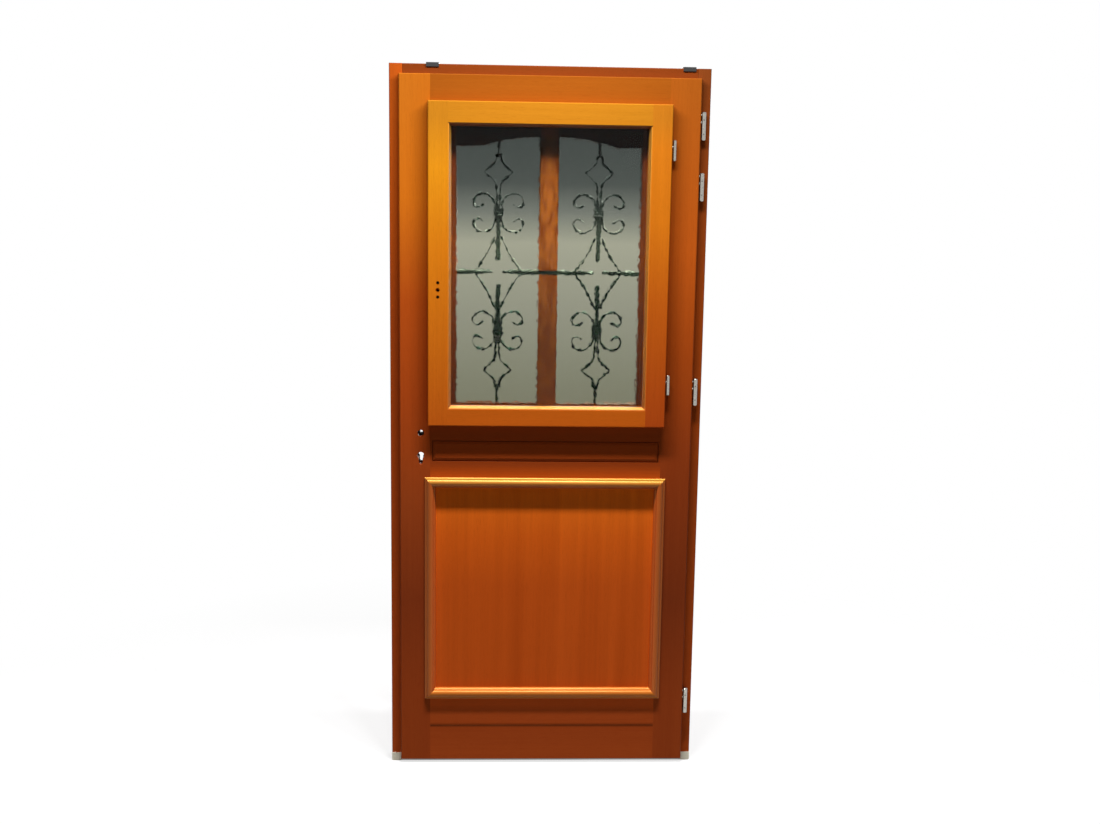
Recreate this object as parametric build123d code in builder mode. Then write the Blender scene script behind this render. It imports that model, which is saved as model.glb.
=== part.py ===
from build123d import *
import os
from math import radians, sin, sqrt

# Glazed front door in its frame, seen from indoors. Millimetres.
# X runs to the right, Y runs outdoors, Z runs up.
# The origin is on the floor, in the middle of the threshold's underside.

# Cuts and fits
overrun = 1
pocket_fit = 0.2
bearing_fit = 0.05
edge_round = 3

# Frame
frame_width = 960
frame_height = 2180
frame_depth = 78
frame_reveal = 30
stop_width = 18
lug_width = 38
lug_drop = 9
lug_depth = 45
lug_thickness = 4
lug_round = 1
left_lug_share = -0.731
right_lug_share = 0.863

# Threshold
sill_height = 20
sill_wall = 2.5
upstand_height = 38
upstand_width = 13
sill_nose_height = 12
cap_width = 30
cap_height = 27
cap_proud = 1
cap_round = 5

# Leaf
leaf_thickness = 64
lip_thickness = 18
lip_overlap = 14
lip_gap = 2
leaf_air = 4
stop_gap = 4
leaf_lift = 12
leaf_sill_gap = 6
stile_width = 93
top_rail_height = 85
lock_rail_height = 189
bottom_rail_height = 107
plinth_height = 115
panel_height = 684
board_chamfer = 1

# Lower panel and its mouldings
panel_set_back = 10
tongue_thickness = 20
tongue_depth = 8
panel_thickness = 36
field_margin = 12
field_bevel = 45
moulding_lap = 17
moulding_width = 34
moulding_edge = 1.5
moulding_shoulder = 4.5
moulding_crest = 10.5
moulding_quirk = 1
bead_swell = 0.9
outer_bead_share = 0.16
crest_share = 0.44
inner_bead_share = 0.82

# Slim panel in the lock rail
slim_side_margin = 6.5
slim_rise = 68
slim_height = 65
slim_pocket = 8
slim_groove = 2.5
slim_border = 8
slim_bevel = 2.5

# Weatherboard
board_height = 70
board_reach = 38
board_top = 8
board_nose = 12
board_end_gap = 10
drip_width = 5
drip_depth = 4

# Frame of the glazed light
lining = 7
light_stop_reach = 77.5
light_sill_height = 57
shoulder_drop = 120.5
arch_rise = 29.5
shoulder_start_share = 0.733
shoulder_round = 25
mullion_width = 58

# Wrought iron grille, with its heights as shares of half its height from the cross bar
bar_size = 14
stub_size = 8
stub_lap = 10
flat_thickness = 6
flat_depth = 12
socket_depth = 10
unit_place_share = 0.495
cross_bar_share = 0.508
blunt_end_share = 0.09
collar_share = 0.451
lozenge_tip_share = 0.757
lozenge_top_share = 0.892
lozenge_reach_share = 0.172
lozenge_bend_share = 0.58
lozenge_bend = 26
lozenge_tip_round = 5
scroll_stem_share = 0.078
scroll_rise_share = 0.154
scroll_crown_share = 0.109
scroll_curl_share = 0.054
scroll_curl_turn = 126
scroll_tail_share = 0.051
branch_gap = 9
branch_reach_share = 0.296
branch_bow_shares = (0.12, 0.577)
tip_gap = 13
tip_length = 32
tip_size = 8
collar_height = 22
collar_wall = 3
collar_rings = 3
collar_ring_share = 0.27
collar_neck = 1
weld_gap = 0.1

# Sash
sash_thickness = 58
sash_lip_thickness = 24
sash_overlap = 16
sash_lip_gap = 2
sash_air = 3
sash_stile_width = 60
sash_top_rail_width = 62.5
sash_bottom_rail_width = 51.5
bead_width = 8.5
bead_set_back = 2
bead_flat = 3
bead_slope_depth = 14
nose_thickness = 8
pane_thickness = 4
pane_gap = 16
pane_edge_gap = 2
spacer_width = 5

# Seals
seal_width = 10
seal_inset = 2
seal_clearance = 0.3

# Door hinges
door_hinge_radius = 7
door_hinge_length = 83
door_hinge_upper_length = 46
door_pin_radius = 4
door_axis_gap = 9
door_hinge_top_shares = (0.9546, 0.8704, 0.5786, 0.1109)
door_arm_drop = 8.5
door_arm_spacing = 22

# Sash hinges
sash_hinge_radius = 6
sash_hinge_length = 61
sash_hinge_upper_length = 32
sash_pin_radius = 3
sash_axis_gap = 8
sash_axis_set_back = 9
sash_hinge_top_shares = (0.894, 0.165)
sash_arm_drop = 20

# What both kinds of hinge share
hinge_arm_radius = 3
hinge_arm_reach = 28
hinge_crown = 1.5
pin_collar_thickness = 1.5
pin_end_wall = 4
pin_air = 0.5
arm_root_share = 0.8

# Mortise lock
lock_backset = 50
handle_height = 1074
cylinder_spacing = 70
spindle_hole_radius = 10
spindle_square = 8
key_radius = 10.75
key_slot_width = 12
key_slot_drop = 27.5
cylinder_radius = 8.75
cylinder_slot_width = 10.5
cylinder_slot_drop = 24
case_thickness = 15
case_depth = 64
case_rise = 56
case_drop = 124
case_wall = 1.5
faceplate_width = 20
faceplate_height = 240
faceplate_thickness = 3
follower_radius = 10
follower_hub_radius = 8.5
follower_arm_length = 18
follower_arm_width = 5
handle_turn = 40
latch_rise = 34
latch_height = 16
fork_prong = 4
fork_air = 1.2
fork_drop = 10
fork_thickness = 6
bolt_rise = 32
bolt_height = 26
bolt_length = 50
bolt_throw = 20
bolt_thickness = 11
bolt_fit = 0.3
strike_thickness = 3
strike_width = 24
strike_air = 6
strike_clearance = 1.5

# Sash lock
sash_handle_inset = 30
sash_handle_share = 0.427
sash_screw_spacing = 43
sash_screw_hole_radius = 5
sash_spindle_hole_radius = 6
sash_spindle_square = 7
sash_follower_radius = 7
gear_depth = 26
gear_thickness = 12
gear_height = 96
rod_width = 12
rod_thickness = 3.5
rod_throw = 18
rod_end_gap = 2
rod_tail_width = 6
rod_tail_thickness = 2
rod_tail_length = 24
rod_air = 1
keep_width = 20
keep_length = 28
keep_thickness = 2

# Depths, from the indoor side outwards
frame_front = -frame_depth / 2
frame_back = frame_depth / 2
lip_back = frame_front - lip_gap
leaf_front = lip_back - lip_thickness
leaf_back = leaf_front + leaf_thickness
leaf_core = (lip_back + leaf_back) / 2
stop_face = leaf_back + stop_gap
panel_front = leaf_front + panel_set_back
tongue_back = panel_front + tongue_thickness
panel_back = panel_front + panel_thickness
sash_lip_back = leaf_front - sash_lip_gap
sash_front = sash_lip_back - sash_lip_thickness
sash_back = sash_front + sash_thickness
sash_core = (sash_lip_back + sash_back) / 2
light_stop_face = sash_back + stop_gap
grille_depth = (light_stop_face + leaf_back) / 2
nose_front = sash_back - nose_thickness
outer_pane_front = nose_front - pane_thickness
inner_pane_back = outer_pane_front - pane_gap
inner_pane_front = inner_pane_back - pane_thickness

# Half widths
frame_half = frame_width / 2
leaf_half = frame_half - frame_reveal
leaf_edge = leaf_half - lip_overlap
rebate_edge = leaf_edge + leaf_air
stop_edge = rebate_edge - stop_width
stile_edge = leaf_half - stile_width
lining_edge = stile_edge - lining
light_half = stile_edge - light_stop_reach
sash_edge = lining_edge - sash_air
sash_half = sash_edge + sash_overlap
glass_rebate_half = sash_half - sash_stile_width
sight_half = glass_rebate_half - bead_width
mullion_half = mullion_width / 2
sill_half = frame_half - cap_width

# Heights
leaf_top = frame_height - frame_reveal
leaf_body_top = leaf_top - lip_overlap
leaf_body_bottom = sill_height + leaf_sill_gap
rebate_top = leaf_body_top + leaf_air
stop_top = rebate_top - stop_width
plinth_top = leaf_lift + plinth_height
panel_bottom = plinth_top + bottom_rail_height
panel_top = panel_bottom + panel_height
light_bottom = panel_top + lock_rail_height
light_top = leaf_top - top_rail_height
light_sill = light_bottom + light_sill_height
shoulder_level = light_top - shoulder_drop
crown_level = shoulder_level + arch_rise
sash_body_bottom = light_bottom + lining + sash_air
sash_body_top = light_top - lining - sash_air
sash_bottom = sash_body_bottom - sash_overlap
sash_top = sash_body_top + sash_overlap
glass_rebate_bottom = sash_bottom + sash_bottom_rail_width
glass_rebate_top = sash_top - sash_top_rail_width
cylinder_height = handle_height - cylinder_spacing

# Hinge axes
door_axis = (leaf_half + door_axis_gap, leaf_front + lip_thickness / 2)
sash_axis = (sash_half + sash_axis_gap, sash_lip_back - sash_axis_set_back)
door_hinge_tops = [leaf_lift + share * (leaf_top - leaf_lift) for share in door_hinge_top_shares]
sash_hinge_tops = [sash_bottom + share * (sash_top - sash_bottom) for share in sash_hinge_top_shares]


# Helpers that add to, or cut from, the part that is being built
def block(low, high, mode=Mode.ADD):
    """Box between two opposite corners."""
    with Locations(tuple((a + b) / 2 for a, b in zip(low, high))):
        Box(*[b - a for a, b in zip(low, high)], mode=mode)


def rod(start, direction, radius, length, mode=Mode.ADD):
    """Round rod from a point along a direction."""
    with BuildSketch(Plane(start, z_dir=direction)) as section:
        Circle(radius)
    extrude(section.sketch, amount=length, mode=mode)


def bar(plane, outline, length, mode=Mode.ADD):
    """Straight bar with a closed outline, reaching half its length each way from its plane."""
    with BuildSketch(plane) as section:
        with BuildLine():
            Polyline(*outline, close=True)
        make_face()
    extrude(section.sketch, amount=length / 2, both=True, mode=mode)


def turned(axis, height, outline):
    """Outline of radii and heights, turned about an upright axis."""
    centre = (axis[0], axis[1], height)
    with BuildSketch(Plane(centre, x_dir=(1, 0, 0), z_dir=(0, -1, 0))) as section:
        with BuildLine():
            Polyline(*outline, close=True)
        make_face()
    revolve(section.sketch, axis=Axis(centre, (0, 0, 1)))


def side_plane(side, half_width, low, high, front):
    """Plane across one side of an upright rectangle: x inward, y outdoors, z along the side."""
    middle = (low + high) / 2
    origin, inward = {
        "left": ((-half_width, front, middle), (1, 0, 0)),
        "right": ((half_width, front, middle), (-1, 0, 0)),
        "bottom": ((0, front, low), (0, 0, 1)),
        "top": ((0, front, high), (0, 0, -1)),
    }[side]
    return Plane(origin, x_dir=inward, z_dir=Vector(inward).cross(Vector(0, 1, 0)))


def mitre(plane, length):
    """Cuts both ends of a bar on its plane at 45 degrees, longest along its outer edge."""
    for end in (-1, 1):
        corner = plane.origin + plane.z_dir * (end * length / 2)
        split(bisect_by=Plane(corner, z_dir=plane.z_dir * end + plane.x_dir), keep=Keep.BOTTOM)


def rebated_outline(face, stop, stop_depth, depth):
    """Section of a frame member: a face with a deeper stop behind it."""
    return (0, 0), (face, 0), (face, stop_depth), (stop, stop_depth), (stop, depth), (0, depth)


def lipped_outline(width, lip, overlap, depth):
    """Section of a leaf member: a body with a lip that laps its frame."""
    return (0, 0), (width, 0), (width, depth), (overlap, depth), (overlap, lip), (0, lip)


def sash_outline(width):
    """Section of a sash member: a lip outside, a body, and a nose behind the glass."""
    nose = nose_front - sash_front
    return (
        (0, 0), (width, 0), (width, nose), (width + bead_width, nose), (width + bead_width, sash_thickness),
        (sash_overlap, sash_thickness), (sash_overlap, sash_lip_thickness), (0, sash_lip_thickness))


def profile_hole(radius, slot_width, slot_drop, front, depth):
    """Keyhole cut: a circle with a round-ended slot below it."""
    x = -leaf_edge + lock_backset
    slot_centre = cylinder_height - slot_drop + slot_width / 2
    middle = (cylinder_height + slot_centre) / 2
    with BuildSketch(Plane((x, front, cylinder_height), x_dir=(1, 0, 0), z_dir=(0, 1, 0))) as section:
        Circle(radius)
    with BuildSketch(Plane((x, front, middle), x_dir=(1, 0, 0), z_dir=(0, 1, 0))) as slot:
        SlotCenterToCenter(cylinder_height - slot_centre, slot_width, rotation=90)
    extrude(section.sketch, amount=depth, mode=Mode.SUBTRACT)
    extrude(slot.sketch, amount=depth, mode=Mode.SUBTRACT)


def save(piece, name):
    """Labels a finished piece and writes it."""
    piece.part.label = name
    export_step(piece.part, f"parts/{name}.step")


os.makedirs("parts", exist_ok=True)

# Jambs and head
jamb_outline = rebated_outline(
    frame_half - rebate_edge, frame_half - stop_edge, stop_face - frame_front, frame_depth)
jamb_length = frame_height - cap_height
bolt_places = {
    "latch": (handle_height + latch_rise, latch_height),
    "bolt": (cylinder_height + bolt_rise, bolt_height),
}
strike_low = bolt_places["bolt"][0] - bolt_height / 2 - 2 * strike_width
strike_high = bolt_places["latch"][0] + latch_height / 2 + 2 * strike_width

with BuildPart() as frame_left_jamb:
    bar(side_plane("left", frame_half, cap_height, frame_height, frame_front), jamb_outline, jamb_length)
    fillet(frame_left_jamb.edges().filter_by(Axis.Z).group_by(Axis.Y)[0], edge_round)
    block(
        (-rebate_edge - strike_thickness, leaf_core - strike_width / 2, strike_low),
        (-rebate_edge + overrun, leaf_core + strike_width / 2, strike_high), Mode.SUBTRACT)
    for height, size in bolt_places.values():
        reach = size / 2 + strike_air
        block(
            (-leaf_edge - bolt_throw - strike_air, leaf_core - bolt_thickness, height - reach),
            (-rebate_edge, leaf_core + bolt_thickness, height + reach),
            Mode.SUBTRACT)
save(frame_left_jamb, "frame_left_jamb")

door_frame_arm = frame_front - door_axis[1] + hinge_arm_reach
door_hinge_bottoms = [top - door_hinge_length for top in door_hinge_tops]
door_arm_drops = (door_arm_drop, door_arm_drop + door_arm_spacing)
door_frame_arm_heights = [bottom + drop for bottom in door_hinge_bottoms for drop in door_arm_drops]
with BuildPart() as frame_right_jamb:
    bar(side_plane("right", frame_half, cap_height, frame_height, frame_front), jamb_outline, jamb_length)
    fillet(frame_right_jamb.edges().filter_by(Axis.Z).group_by(Axis.Y)[0], edge_round)
    for height in door_frame_arm_heights:
        rod(
            (door_axis[0], door_axis[1], height), (0, 1, 0), hinge_arm_radius + pocket_fit,
            door_frame_arm + pocket_fit, Mode.SUBTRACT)
save(frame_right_jamb, "frame_right_jamb")

with BuildPart() as frame_head:
    bar(side_plane("top", frame_half, cap_height, frame_height, frame_front), jamb_outline, 2 * rebate_edge)
    fillet(frame_head.edges().filter_by(Axis.X).group_by(Axis.Y)[0], edge_round)
    for side in (-1, 1):
        ends = sorted((side * stop_edge, side * (rebate_edge + overrun)))
        block(
            (ends[0], stop_face, stop_top - overrun),
            (ends[1], frame_back + overrun, frame_height + overrun),
            Mode.SUBTRACT)
save(frame_head, "frame_head")

# Black lugs hooked over the head
for side, share in (("left", left_lug_share), ("right", right_lug_share)):
    with BuildPart() as head_lug:
        centre = share * frame_half
        block(
            (centre - lug_width / 2, frame_front - lug_thickness, frame_height),
            (centre + lug_width / 2, frame_front + lug_depth, frame_height + lug_thickness))
        block(
            (centre - lug_width / 2, frame_front - lug_thickness, frame_height - lug_drop),
            (centre + lug_width / 2, frame_front, frame_height))
        fillet(head_lug.edges().filter_by(Axis.X).group_by(Axis.Y)[0], lug_round)
    save(head_lug, f"head_lug_{side}")

# Threshold with two chambers, an upstand behind the leaf and a slope to the outside
with BuildPart() as threshold:
    bar(
        Plane.YZ,
        ((frame_front, 0), (frame_front, sill_height), (frame_back, sill_height), (frame_back, 0)),
        2 * sill_half)
    bar(
        Plane.YZ,
        ((stop_face, sill_height), (stop_face, upstand_height), (stop_face + upstand_width, upstand_height),
         (frame_back, sill_height)),
        2 * stop_edge)
    chamfer(
        threshold.edges().filter_by(Axis.X).group_by(Axis.Y)[-1].sort_by(Axis.Z)[-1],
        sill_height - sill_nose_height)
    for chamber in ((frame_front + sill_wall, -sill_wall / 2), (sill_wall / 2, stop_face + upstand_width)):
        block(
            (-sill_half - overrun, chamber[0], sill_wall),
            (sill_half + overrun, chamber[1], sill_height - sill_wall), Mode.SUBTRACT)
save(threshold, "threshold")

# Plastic caps that close the threshold's ends and carry the jambs
for side in ("left", "right"):
    with BuildPart() as threshold_cap:
        plane = side_plane(side, frame_half, 0, sill_height, frame_front)
        bar(
            plane,
            ((0, -cap_proud), (cap_width, -cap_proud), (cap_width, frame_depth), (0, frame_depth)),
            sill_height)
        fillet(
            threshold_cap.edges().filter_by(Axis.Y).group_by(Axis.Z)[0].sort_by_distance(plane.origin)[0],
            cap_round)
        pad_plane = side_plane(side, frame_half, sill_height, cap_height, frame_front - cap_proud)
        pad_outline = rebated_outline(
            frame_half - rebate_edge, frame_half - stop_edge, stop_face - frame_front + cap_proud,
            frame_depth + cap_proud)
        bar(pad_plane, pad_outline, cap_height - sill_height)
    save(threshold_cap, f"threshold_cap_{side}")

# Seals on the frame's stops, pressed by the leaf
seal_reach = seal_clearance - stop_gap
seal_outline = ((0, 0), (seal_width, 0), (seal_width, seal_reach), (0, seal_reach))
frame_seal_edge = stop_edge + seal_inset + seal_width
frame_seal_top = stop_top + seal_inset + seal_width
with BuildPart() as frame_seals:
    for side in ("left", "right"):
        plane = side_plane(side, frame_seal_edge, upstand_height, frame_seal_top, stop_face)
        bar(plane, seal_outline, frame_seal_top - upstand_height)
    top_plane = side_plane("top", frame_seal_edge, upstand_height, frame_seal_top, stop_face)
    bar(top_plane, seal_outline, 2 * (frame_seal_edge - seal_width - seal_clearance))
    sill_plane = side_plane("bottom", stop_edge, leaf_body_bottom + seal_inset, frame_seal_top, stop_face)
    bar(sill_plane, seal_outline, 2 * stop_edge)
save(frame_seals, "frame_seals")

# Strike plate let into the left jamb
with BuildPart() as strike_plate:
    block(
        (-rebate_edge - strike_thickness, leaf_core - strike_width / 2, strike_low),
        (-rebate_edge, leaf_core + strike_width / 2, strike_high))
    for height, size in bolt_places.values():
        block(
            (-rebate_edge - strike_thickness - overrun, leaf_core - bolt_thickness / 2 - strike_clearance,
             height - size / 2 - strike_clearance),
            (-rebate_edge + overrun, leaf_core + bolt_thickness / 2 + strike_clearance,
             height + size / 2 + strike_clearance),
            Mode.SUBTRACT)
save(strike_plate, "strike_plate")

# Stiles of the leaf, each with a lip round it and a groove for the lower panel
stile_outline = lipped_outline(stile_width, lip_thickness, lip_overlap, leaf_thickness)
leaf_length = leaf_top - leaf_lift


def leaf_stile(side):
    """Blank of a stile: section, rounded arrises, body cut short at both ends, panel groove."""
    outside = {"left": -1, "right": 1}[side]
    bar(side_plane(side, leaf_half, leaf_lift, leaf_top, leaf_front), stile_outline, leaf_length)
    xs = sorted((outside * (stile_edge - overrun), outside * (leaf_half + overrun)))
    for low, high in ((leaf_lift - overrun, leaf_body_bottom), (leaf_body_top, leaf_top + overrun)):
        block((xs[0], lip_back, low), (xs[1], leaf_back + overrun, high), Mode.SUBTRACT)
    groove = sorted((outside * (stile_edge - overrun), outside * (stile_edge + tongue_depth + pocket_fit)))
    block(
        (groove[0], panel_front - pocket_fit, panel_bottom - tongue_depth - pocket_fit),
        (groove[1], tongue_back + pocket_fit, panel_top + tongue_depth + pocket_fit), Mode.SUBTRACT)


handle_x = -leaf_edge + lock_backset
faceplate_low = (handle_height + cylinder_height - faceplate_height) / 2
faceplate_high = faceplate_low + faceplate_height
case_front_x = -leaf_edge + faceplate_thickness
case_back_x = case_front_x + case_depth
case_low = handle_height - case_drop
case_high = handle_height + case_rise
with BuildPart() as leaf_lock_stile:
    leaf_stile("left")
    outer_edges = leaf_lock_stile.edges().filter_by(Axis.Z).group_by(Axis.Y)[0].sort_by(Axis.X)[:1]
    end_edges = leaf_lock_stile.edges().filter_by(Axis.X).group_by(Axis.Y)[0]
    fillet(outer_edges + end_edges, edge_round)
    block(
        (-leaf_edge - overrun, leaf_core - faceplate_width / 2, faceplate_low),
        (case_front_x, leaf_core + faceplate_width / 2, faceplate_high), Mode.SUBTRACT)
    block(
        (case_front_x - overrun, leaf_core - case_thickness / 2 - pocket_fit, case_low - pocket_fit),
        (case_back_x + pocket_fit, leaf_core + case_thickness / 2 + pocket_fit, case_high + pocket_fit),
        Mode.SUBTRACT)
    rod(
        (handle_x, leaf_front - overrun, handle_height), (0, 1, 0), spindle_hole_radius,
        leaf_thickness + 2 * overrun, Mode.SUBTRACT)
    profile_hole(
        key_radius, key_slot_width, key_slot_drop, leaf_front - overrun, leaf_thickness + 2 * overrun)
save(leaf_lock_stile, "leaf_lock_stile")

door_leaf_arm = door_axis_gap + hinge_arm_reach
door_leaf_arm_heights = [top - drop for top in door_hinge_tops for drop in door_arm_drops]
sash_leaf_arm = leaf_front - sash_axis[1] + hinge_arm_reach
sash_hinge_bottoms = [top - sash_hinge_length for top in sash_hinge_tops]
sash_leaf_arm_heights = [bottom + sash_arm_drop / 2 for bottom in sash_hinge_bottoms]
with BuildPart() as leaf_hinge_stile:
    leaf_stile("right")
    outer_edges = leaf_hinge_stile.edges().filter_by(Axis.Z).group_by(Axis.Y)[0].sort_by(Axis.X)[-1:]
    end_edges = leaf_hinge_stile.edges().filter_by(Axis.X).group_by(Axis.Y)[0]
    fillet(outer_edges + end_edges, edge_round)
    for height in door_leaf_arm_heights:
        rod(
            (door_axis[0], door_axis[1], height), (-1, 0, 0), hinge_arm_radius + pocket_fit,
            door_leaf_arm + pocket_fit, Mode.SUBTRACT)
    for height in sash_leaf_arm_heights:
        rod(
            (sash_axis[0], sash_axis[1], height), (0, 1, 0), hinge_arm_radius + pocket_fit,
            sash_leaf_arm + pocket_fit, Mode.SUBTRACT)
save(leaf_hinge_stile, "leaf_hinge_stile")

# Rails of the leaf
rod_x = -sash_edge + rod_thickness / 2


def rod_hole(low, high):
    """Hole that a locking rod of the sash shoots into."""
    x_reach = rod_thickness / 2 + rod_air
    y_reach = rod_width / 2 + rod_air
    block(
        (rod_x - x_reach, sash_core - y_reach, low), (rod_x + x_reach, sash_core + y_reach, high),
        Mode.SUBTRACT)


with BuildPart() as leaf_top_rail:
    bar(
        side_plane("top", leaf_half, leaf_lift, leaf_top, leaf_front),
        lipped_outline(top_rail_height, lip_thickness, lip_overlap, leaf_thickness), 2 * stile_edge)
    fillet(leaf_top_rail.edges().filter_by(Axis.X).group_by(Axis.Y)[0].sort_by(Axis.Z)[-1], edge_round)
    rod_hole(light_top - overrun, light_top + rod_throw)
save(leaf_top_rail, "leaf_top_rail")

slim_half = stile_edge - slim_side_margin
slim_bottom = panel_top + slim_rise
slim_top = slim_bottom + slim_height
with BuildPart() as leaf_lock_rail:
    block((-stile_edge, leaf_front, panel_top), (stile_edge, leaf_back, light_bottom))
    block(
        (-slim_half, leaf_front - overrun, slim_bottom), (slim_half, leaf_front + slim_pocket, slim_top),
        Mode.SUBTRACT)
    block(
        (-stile_edge - overrun, panel_front - pocket_fit, panel_top - overrun),
        (stile_edge + overrun, tongue_back + pocket_fit, panel_top + tongue_depth + pocket_fit),
        Mode.SUBTRACT)
    rod_hole(light_bottom - rod_throw, light_bottom + overrun)
save(leaf_lock_rail, "leaf_lock_rail")

with BuildPart() as leaf_bottom_rail:
    block((-stile_edge, leaf_front, plinth_top), (stile_edge, leaf_back, panel_bottom))
    front_edges = leaf_bottom_rail.edges().filter_by(Axis.X).group_by(Axis.Y)[0].sort_by(Axis.Z)
    chamfer(front_edges[0], board_chamfer)
    block(
        (-stile_edge - overrun, panel_front - pocket_fit, panel_bottom - tongue_depth - pocket_fit),
        (stile_edge + overrun, tongue_back + pocket_fit, panel_bottom + overrun), Mode.SUBTRACT)
save(leaf_bottom_rail, "leaf_bottom_rail")

with BuildPart() as leaf_plinth_rail:
    bar(
        side_plane("bottom", leaf_half, leaf_lift, leaf_top, leaf_front),
        lipped_outline(plinth_height, lip_thickness, leaf_body_bottom - leaf_lift, leaf_thickness),
        2 * stile_edge)
    front_edges = leaf_plinth_rail.edges().filter_by(Axis.X).group_by(Axis.Y)[0].sort_by(Axis.Z)
    fillet(front_edges[0], edge_round)
    chamfer(
        leaf_plinth_rail.edges().filter_by(Axis.X).group_by(Axis.Y)[0].sort_by(Axis.Z)[-1], board_chamfer)
save(leaf_plinth_rail, "leaf_plinth_rail")

# Lower panel: tongued into its grooves, flat indoors and raised with bevels outdoors
panel_centre = (panel_bottom + panel_top) / 2
with BuildPart() as lower_panel:
    block(
        (-stile_edge - tongue_depth, panel_front, panel_bottom - tongue_depth),
        (stile_edge + tongue_depth, tongue_back, panel_top + tongue_depth))
    for y, inset in ((tongue_back, field_margin), (panel_back, field_margin + field_bevel)):
        with BuildSketch(Plane((0, y, panel_centre), x_dir=(1, 0, 0), z_dir=(0, -1, 0))):
            Rectangle(2 * (stile_edge - inset), panel_height - 2 * inset)
    loft()
save(lower_panel, "lower_panel")

# Mitred mouldings round the lower panel: a bead on the frame, a proud round and a bead on the panel
moulding_half = stile_edge + moulding_lap
moulding_bottom = panel_bottom - moulding_lap
moulding_top = panel_top + moulding_lap
outer_bead, crest, inner_bead = [
    share * moulding_width for share in (outer_bead_share, crest_share, inner_bead_share)]
panel_edge = (moulding_width, panel_set_back - moulding_edge)
moulding_lengths = {
    "left": moulding_top - moulding_bottom, "right": moulding_top - moulding_bottom,
    "top": 2 * moulding_half, "bottom": 2 * moulding_half}
for side, length in moulding_lengths.items():
    plane = side_plane(side, moulding_half, moulding_bottom, moulding_top, leaf_front)
    with BuildPart() as panel_moulding:
        with BuildSketch(plane):
            with BuildLine():
                back = Polyline(
                    panel_edge, (moulding_width, panel_set_back), (moulding_lap, panel_set_back),
                    (moulding_lap, 0), (0, 0), (0, -moulding_edge))
                shoulder = SagittaArc(back @ 1, (outer_bead, -moulding_shoulder), -bead_swell)
                quirk = Line(shoulder @ 1, (outer_bead + moulding_quirk, -moulding_shoulder))
                ThreePointArc(quirk @ 1, (crest, -moulding_crest), (inner_bead, 0))
                step = Line((inner_bead, 0), (inner_bead + moulding_quirk, 0))
                SagittaArc(step @ 1, panel_edge, -bead_swell)
            make_face()
        extrude(amount=length / 2, both=True)
        mitre(plane, length)
    save(panel_moulding, f"panel_moulding_{side}")

# Slim panel in its pocket, with a groove round it and a bevelled border
slim_size = (2 * (slim_half - slim_groove), slim_height - 2 * slim_groove)
slim_centre = (slim_bottom + slim_top) / 2
with BuildPart() as slim_panel:
    block(
        (-slim_half + slim_groove, leaf_front + slim_bevel, slim_bottom + slim_groove),
        (slim_half - slim_groove, leaf_front + slim_pocket, slim_top - slim_groove))
    for y, inset in ((leaf_front + slim_bevel, 0), (leaf_front, slim_border)):
        with BuildSketch(Plane((0, y, slim_centre), x_dir=(1, 0, 0), z_dir=(0, -1, 0))):
            Rectangle(slim_size[0] - 2 * inset, slim_size[1] - 2 * inset)
    loft()
save(slim_panel, "slim_panel")

# Weatherboard outdoors, with a drip groove under its nose
board_half = stop_edge - board_end_gap
board_bottom = upstand_height + leaf_sill_gap
with BuildPart() as weatherboard:
    with BuildSketch(Plane.YZ):
        with BuildLine():
            foot = Polyline(
                (leaf_back + board_top, board_bottom + board_height),
                (leaf_back, board_bottom + board_height),
                (leaf_back, board_bottom), (leaf_back + board_reach, board_bottom),
                (leaf_back + board_reach, board_bottom + board_nose))
            TangentArc(foot @ 1, foot @ 0, tangent=(-1, 0))
        make_face()
    extrude(amount=board_half, both=True)
    drip_front = leaf_back + board_reach - 2 * drip_width
    block(
        (-board_half - overrun, drip_front, board_bottom - overrun),
        (board_half + overrun, drip_front + drip_width, board_bottom + drip_depth), Mode.SUBTRACT)
save(weatherboard, "weatherboard")

# Places of the grille
cell_width = light_half - mullion_half
unit_x = mullion_half + unit_place_share * cell_width
shoulder_start = shoulder_start_share * light_half
arch_radius = ((shoulder_start - mullion_half) ** 2 + arch_rise**2) / (2 * arch_rise)
arch_level = crown_level - arch_radius + sqrt(arch_radius**2 - (unit_x - mullion_half) ** 2)
grille_height = arch_level - light_sill
grille_half = grille_height / 2
cross_level = light_sill + cross_bar_share * grille_height
bar_half = bar_size / 2
stub_half = stub_size / 2
bar_socket_half = bar_half + pocket_fit
stub_socket_half = stub_half + pocket_fit
units = (-unit_x, unit_x)


def socket(low, high, half_depth):
    """Square hole for the end of a grille bar."""
    block(
        (low[0], grille_depth - half_depth, low[1]), (high[0], grille_depth + half_depth, high[1]),
        Mode.SUBTRACT)


def stub_socket(x, low, high):
    """Hole in the light's frame for the stub of a grille unit."""
    socket((x - stub_socket_half, low), (x + stub_socket_half, high), stub_socket_half)


def unit_plane(x, side, up):
    """Plane of a grille unit on the cross bar: x to one side, y up or down."""
    return Plane((x, grille_depth, cross_level), x_dir=(side, 0, 0), z_dir=(0, -side * up, 0))


# Frame of the light: lining and stop, with sockets for the grille
light_outline = rebated_outline(lining, light_stop_reach, light_stop_face - leaf_front, leaf_thickness)
for side, outside in (("left", -1), ("right", 1)):
    with BuildPart() as light_frame:
        bar(
            side_plane(side, stile_edge, light_bottom, light_top, leaf_front), light_outline,
            light_top - light_bottom)
        xs = sorted((outside * (light_half - overrun), outside * (light_half + socket_depth + pocket_fit)))
        socket(
            (xs[0], cross_level - bar_socket_half), (xs[1], cross_level + bar_socket_half),
            bar_socket_half)
    save(light_frame, f"light_frame_{side}")

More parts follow.
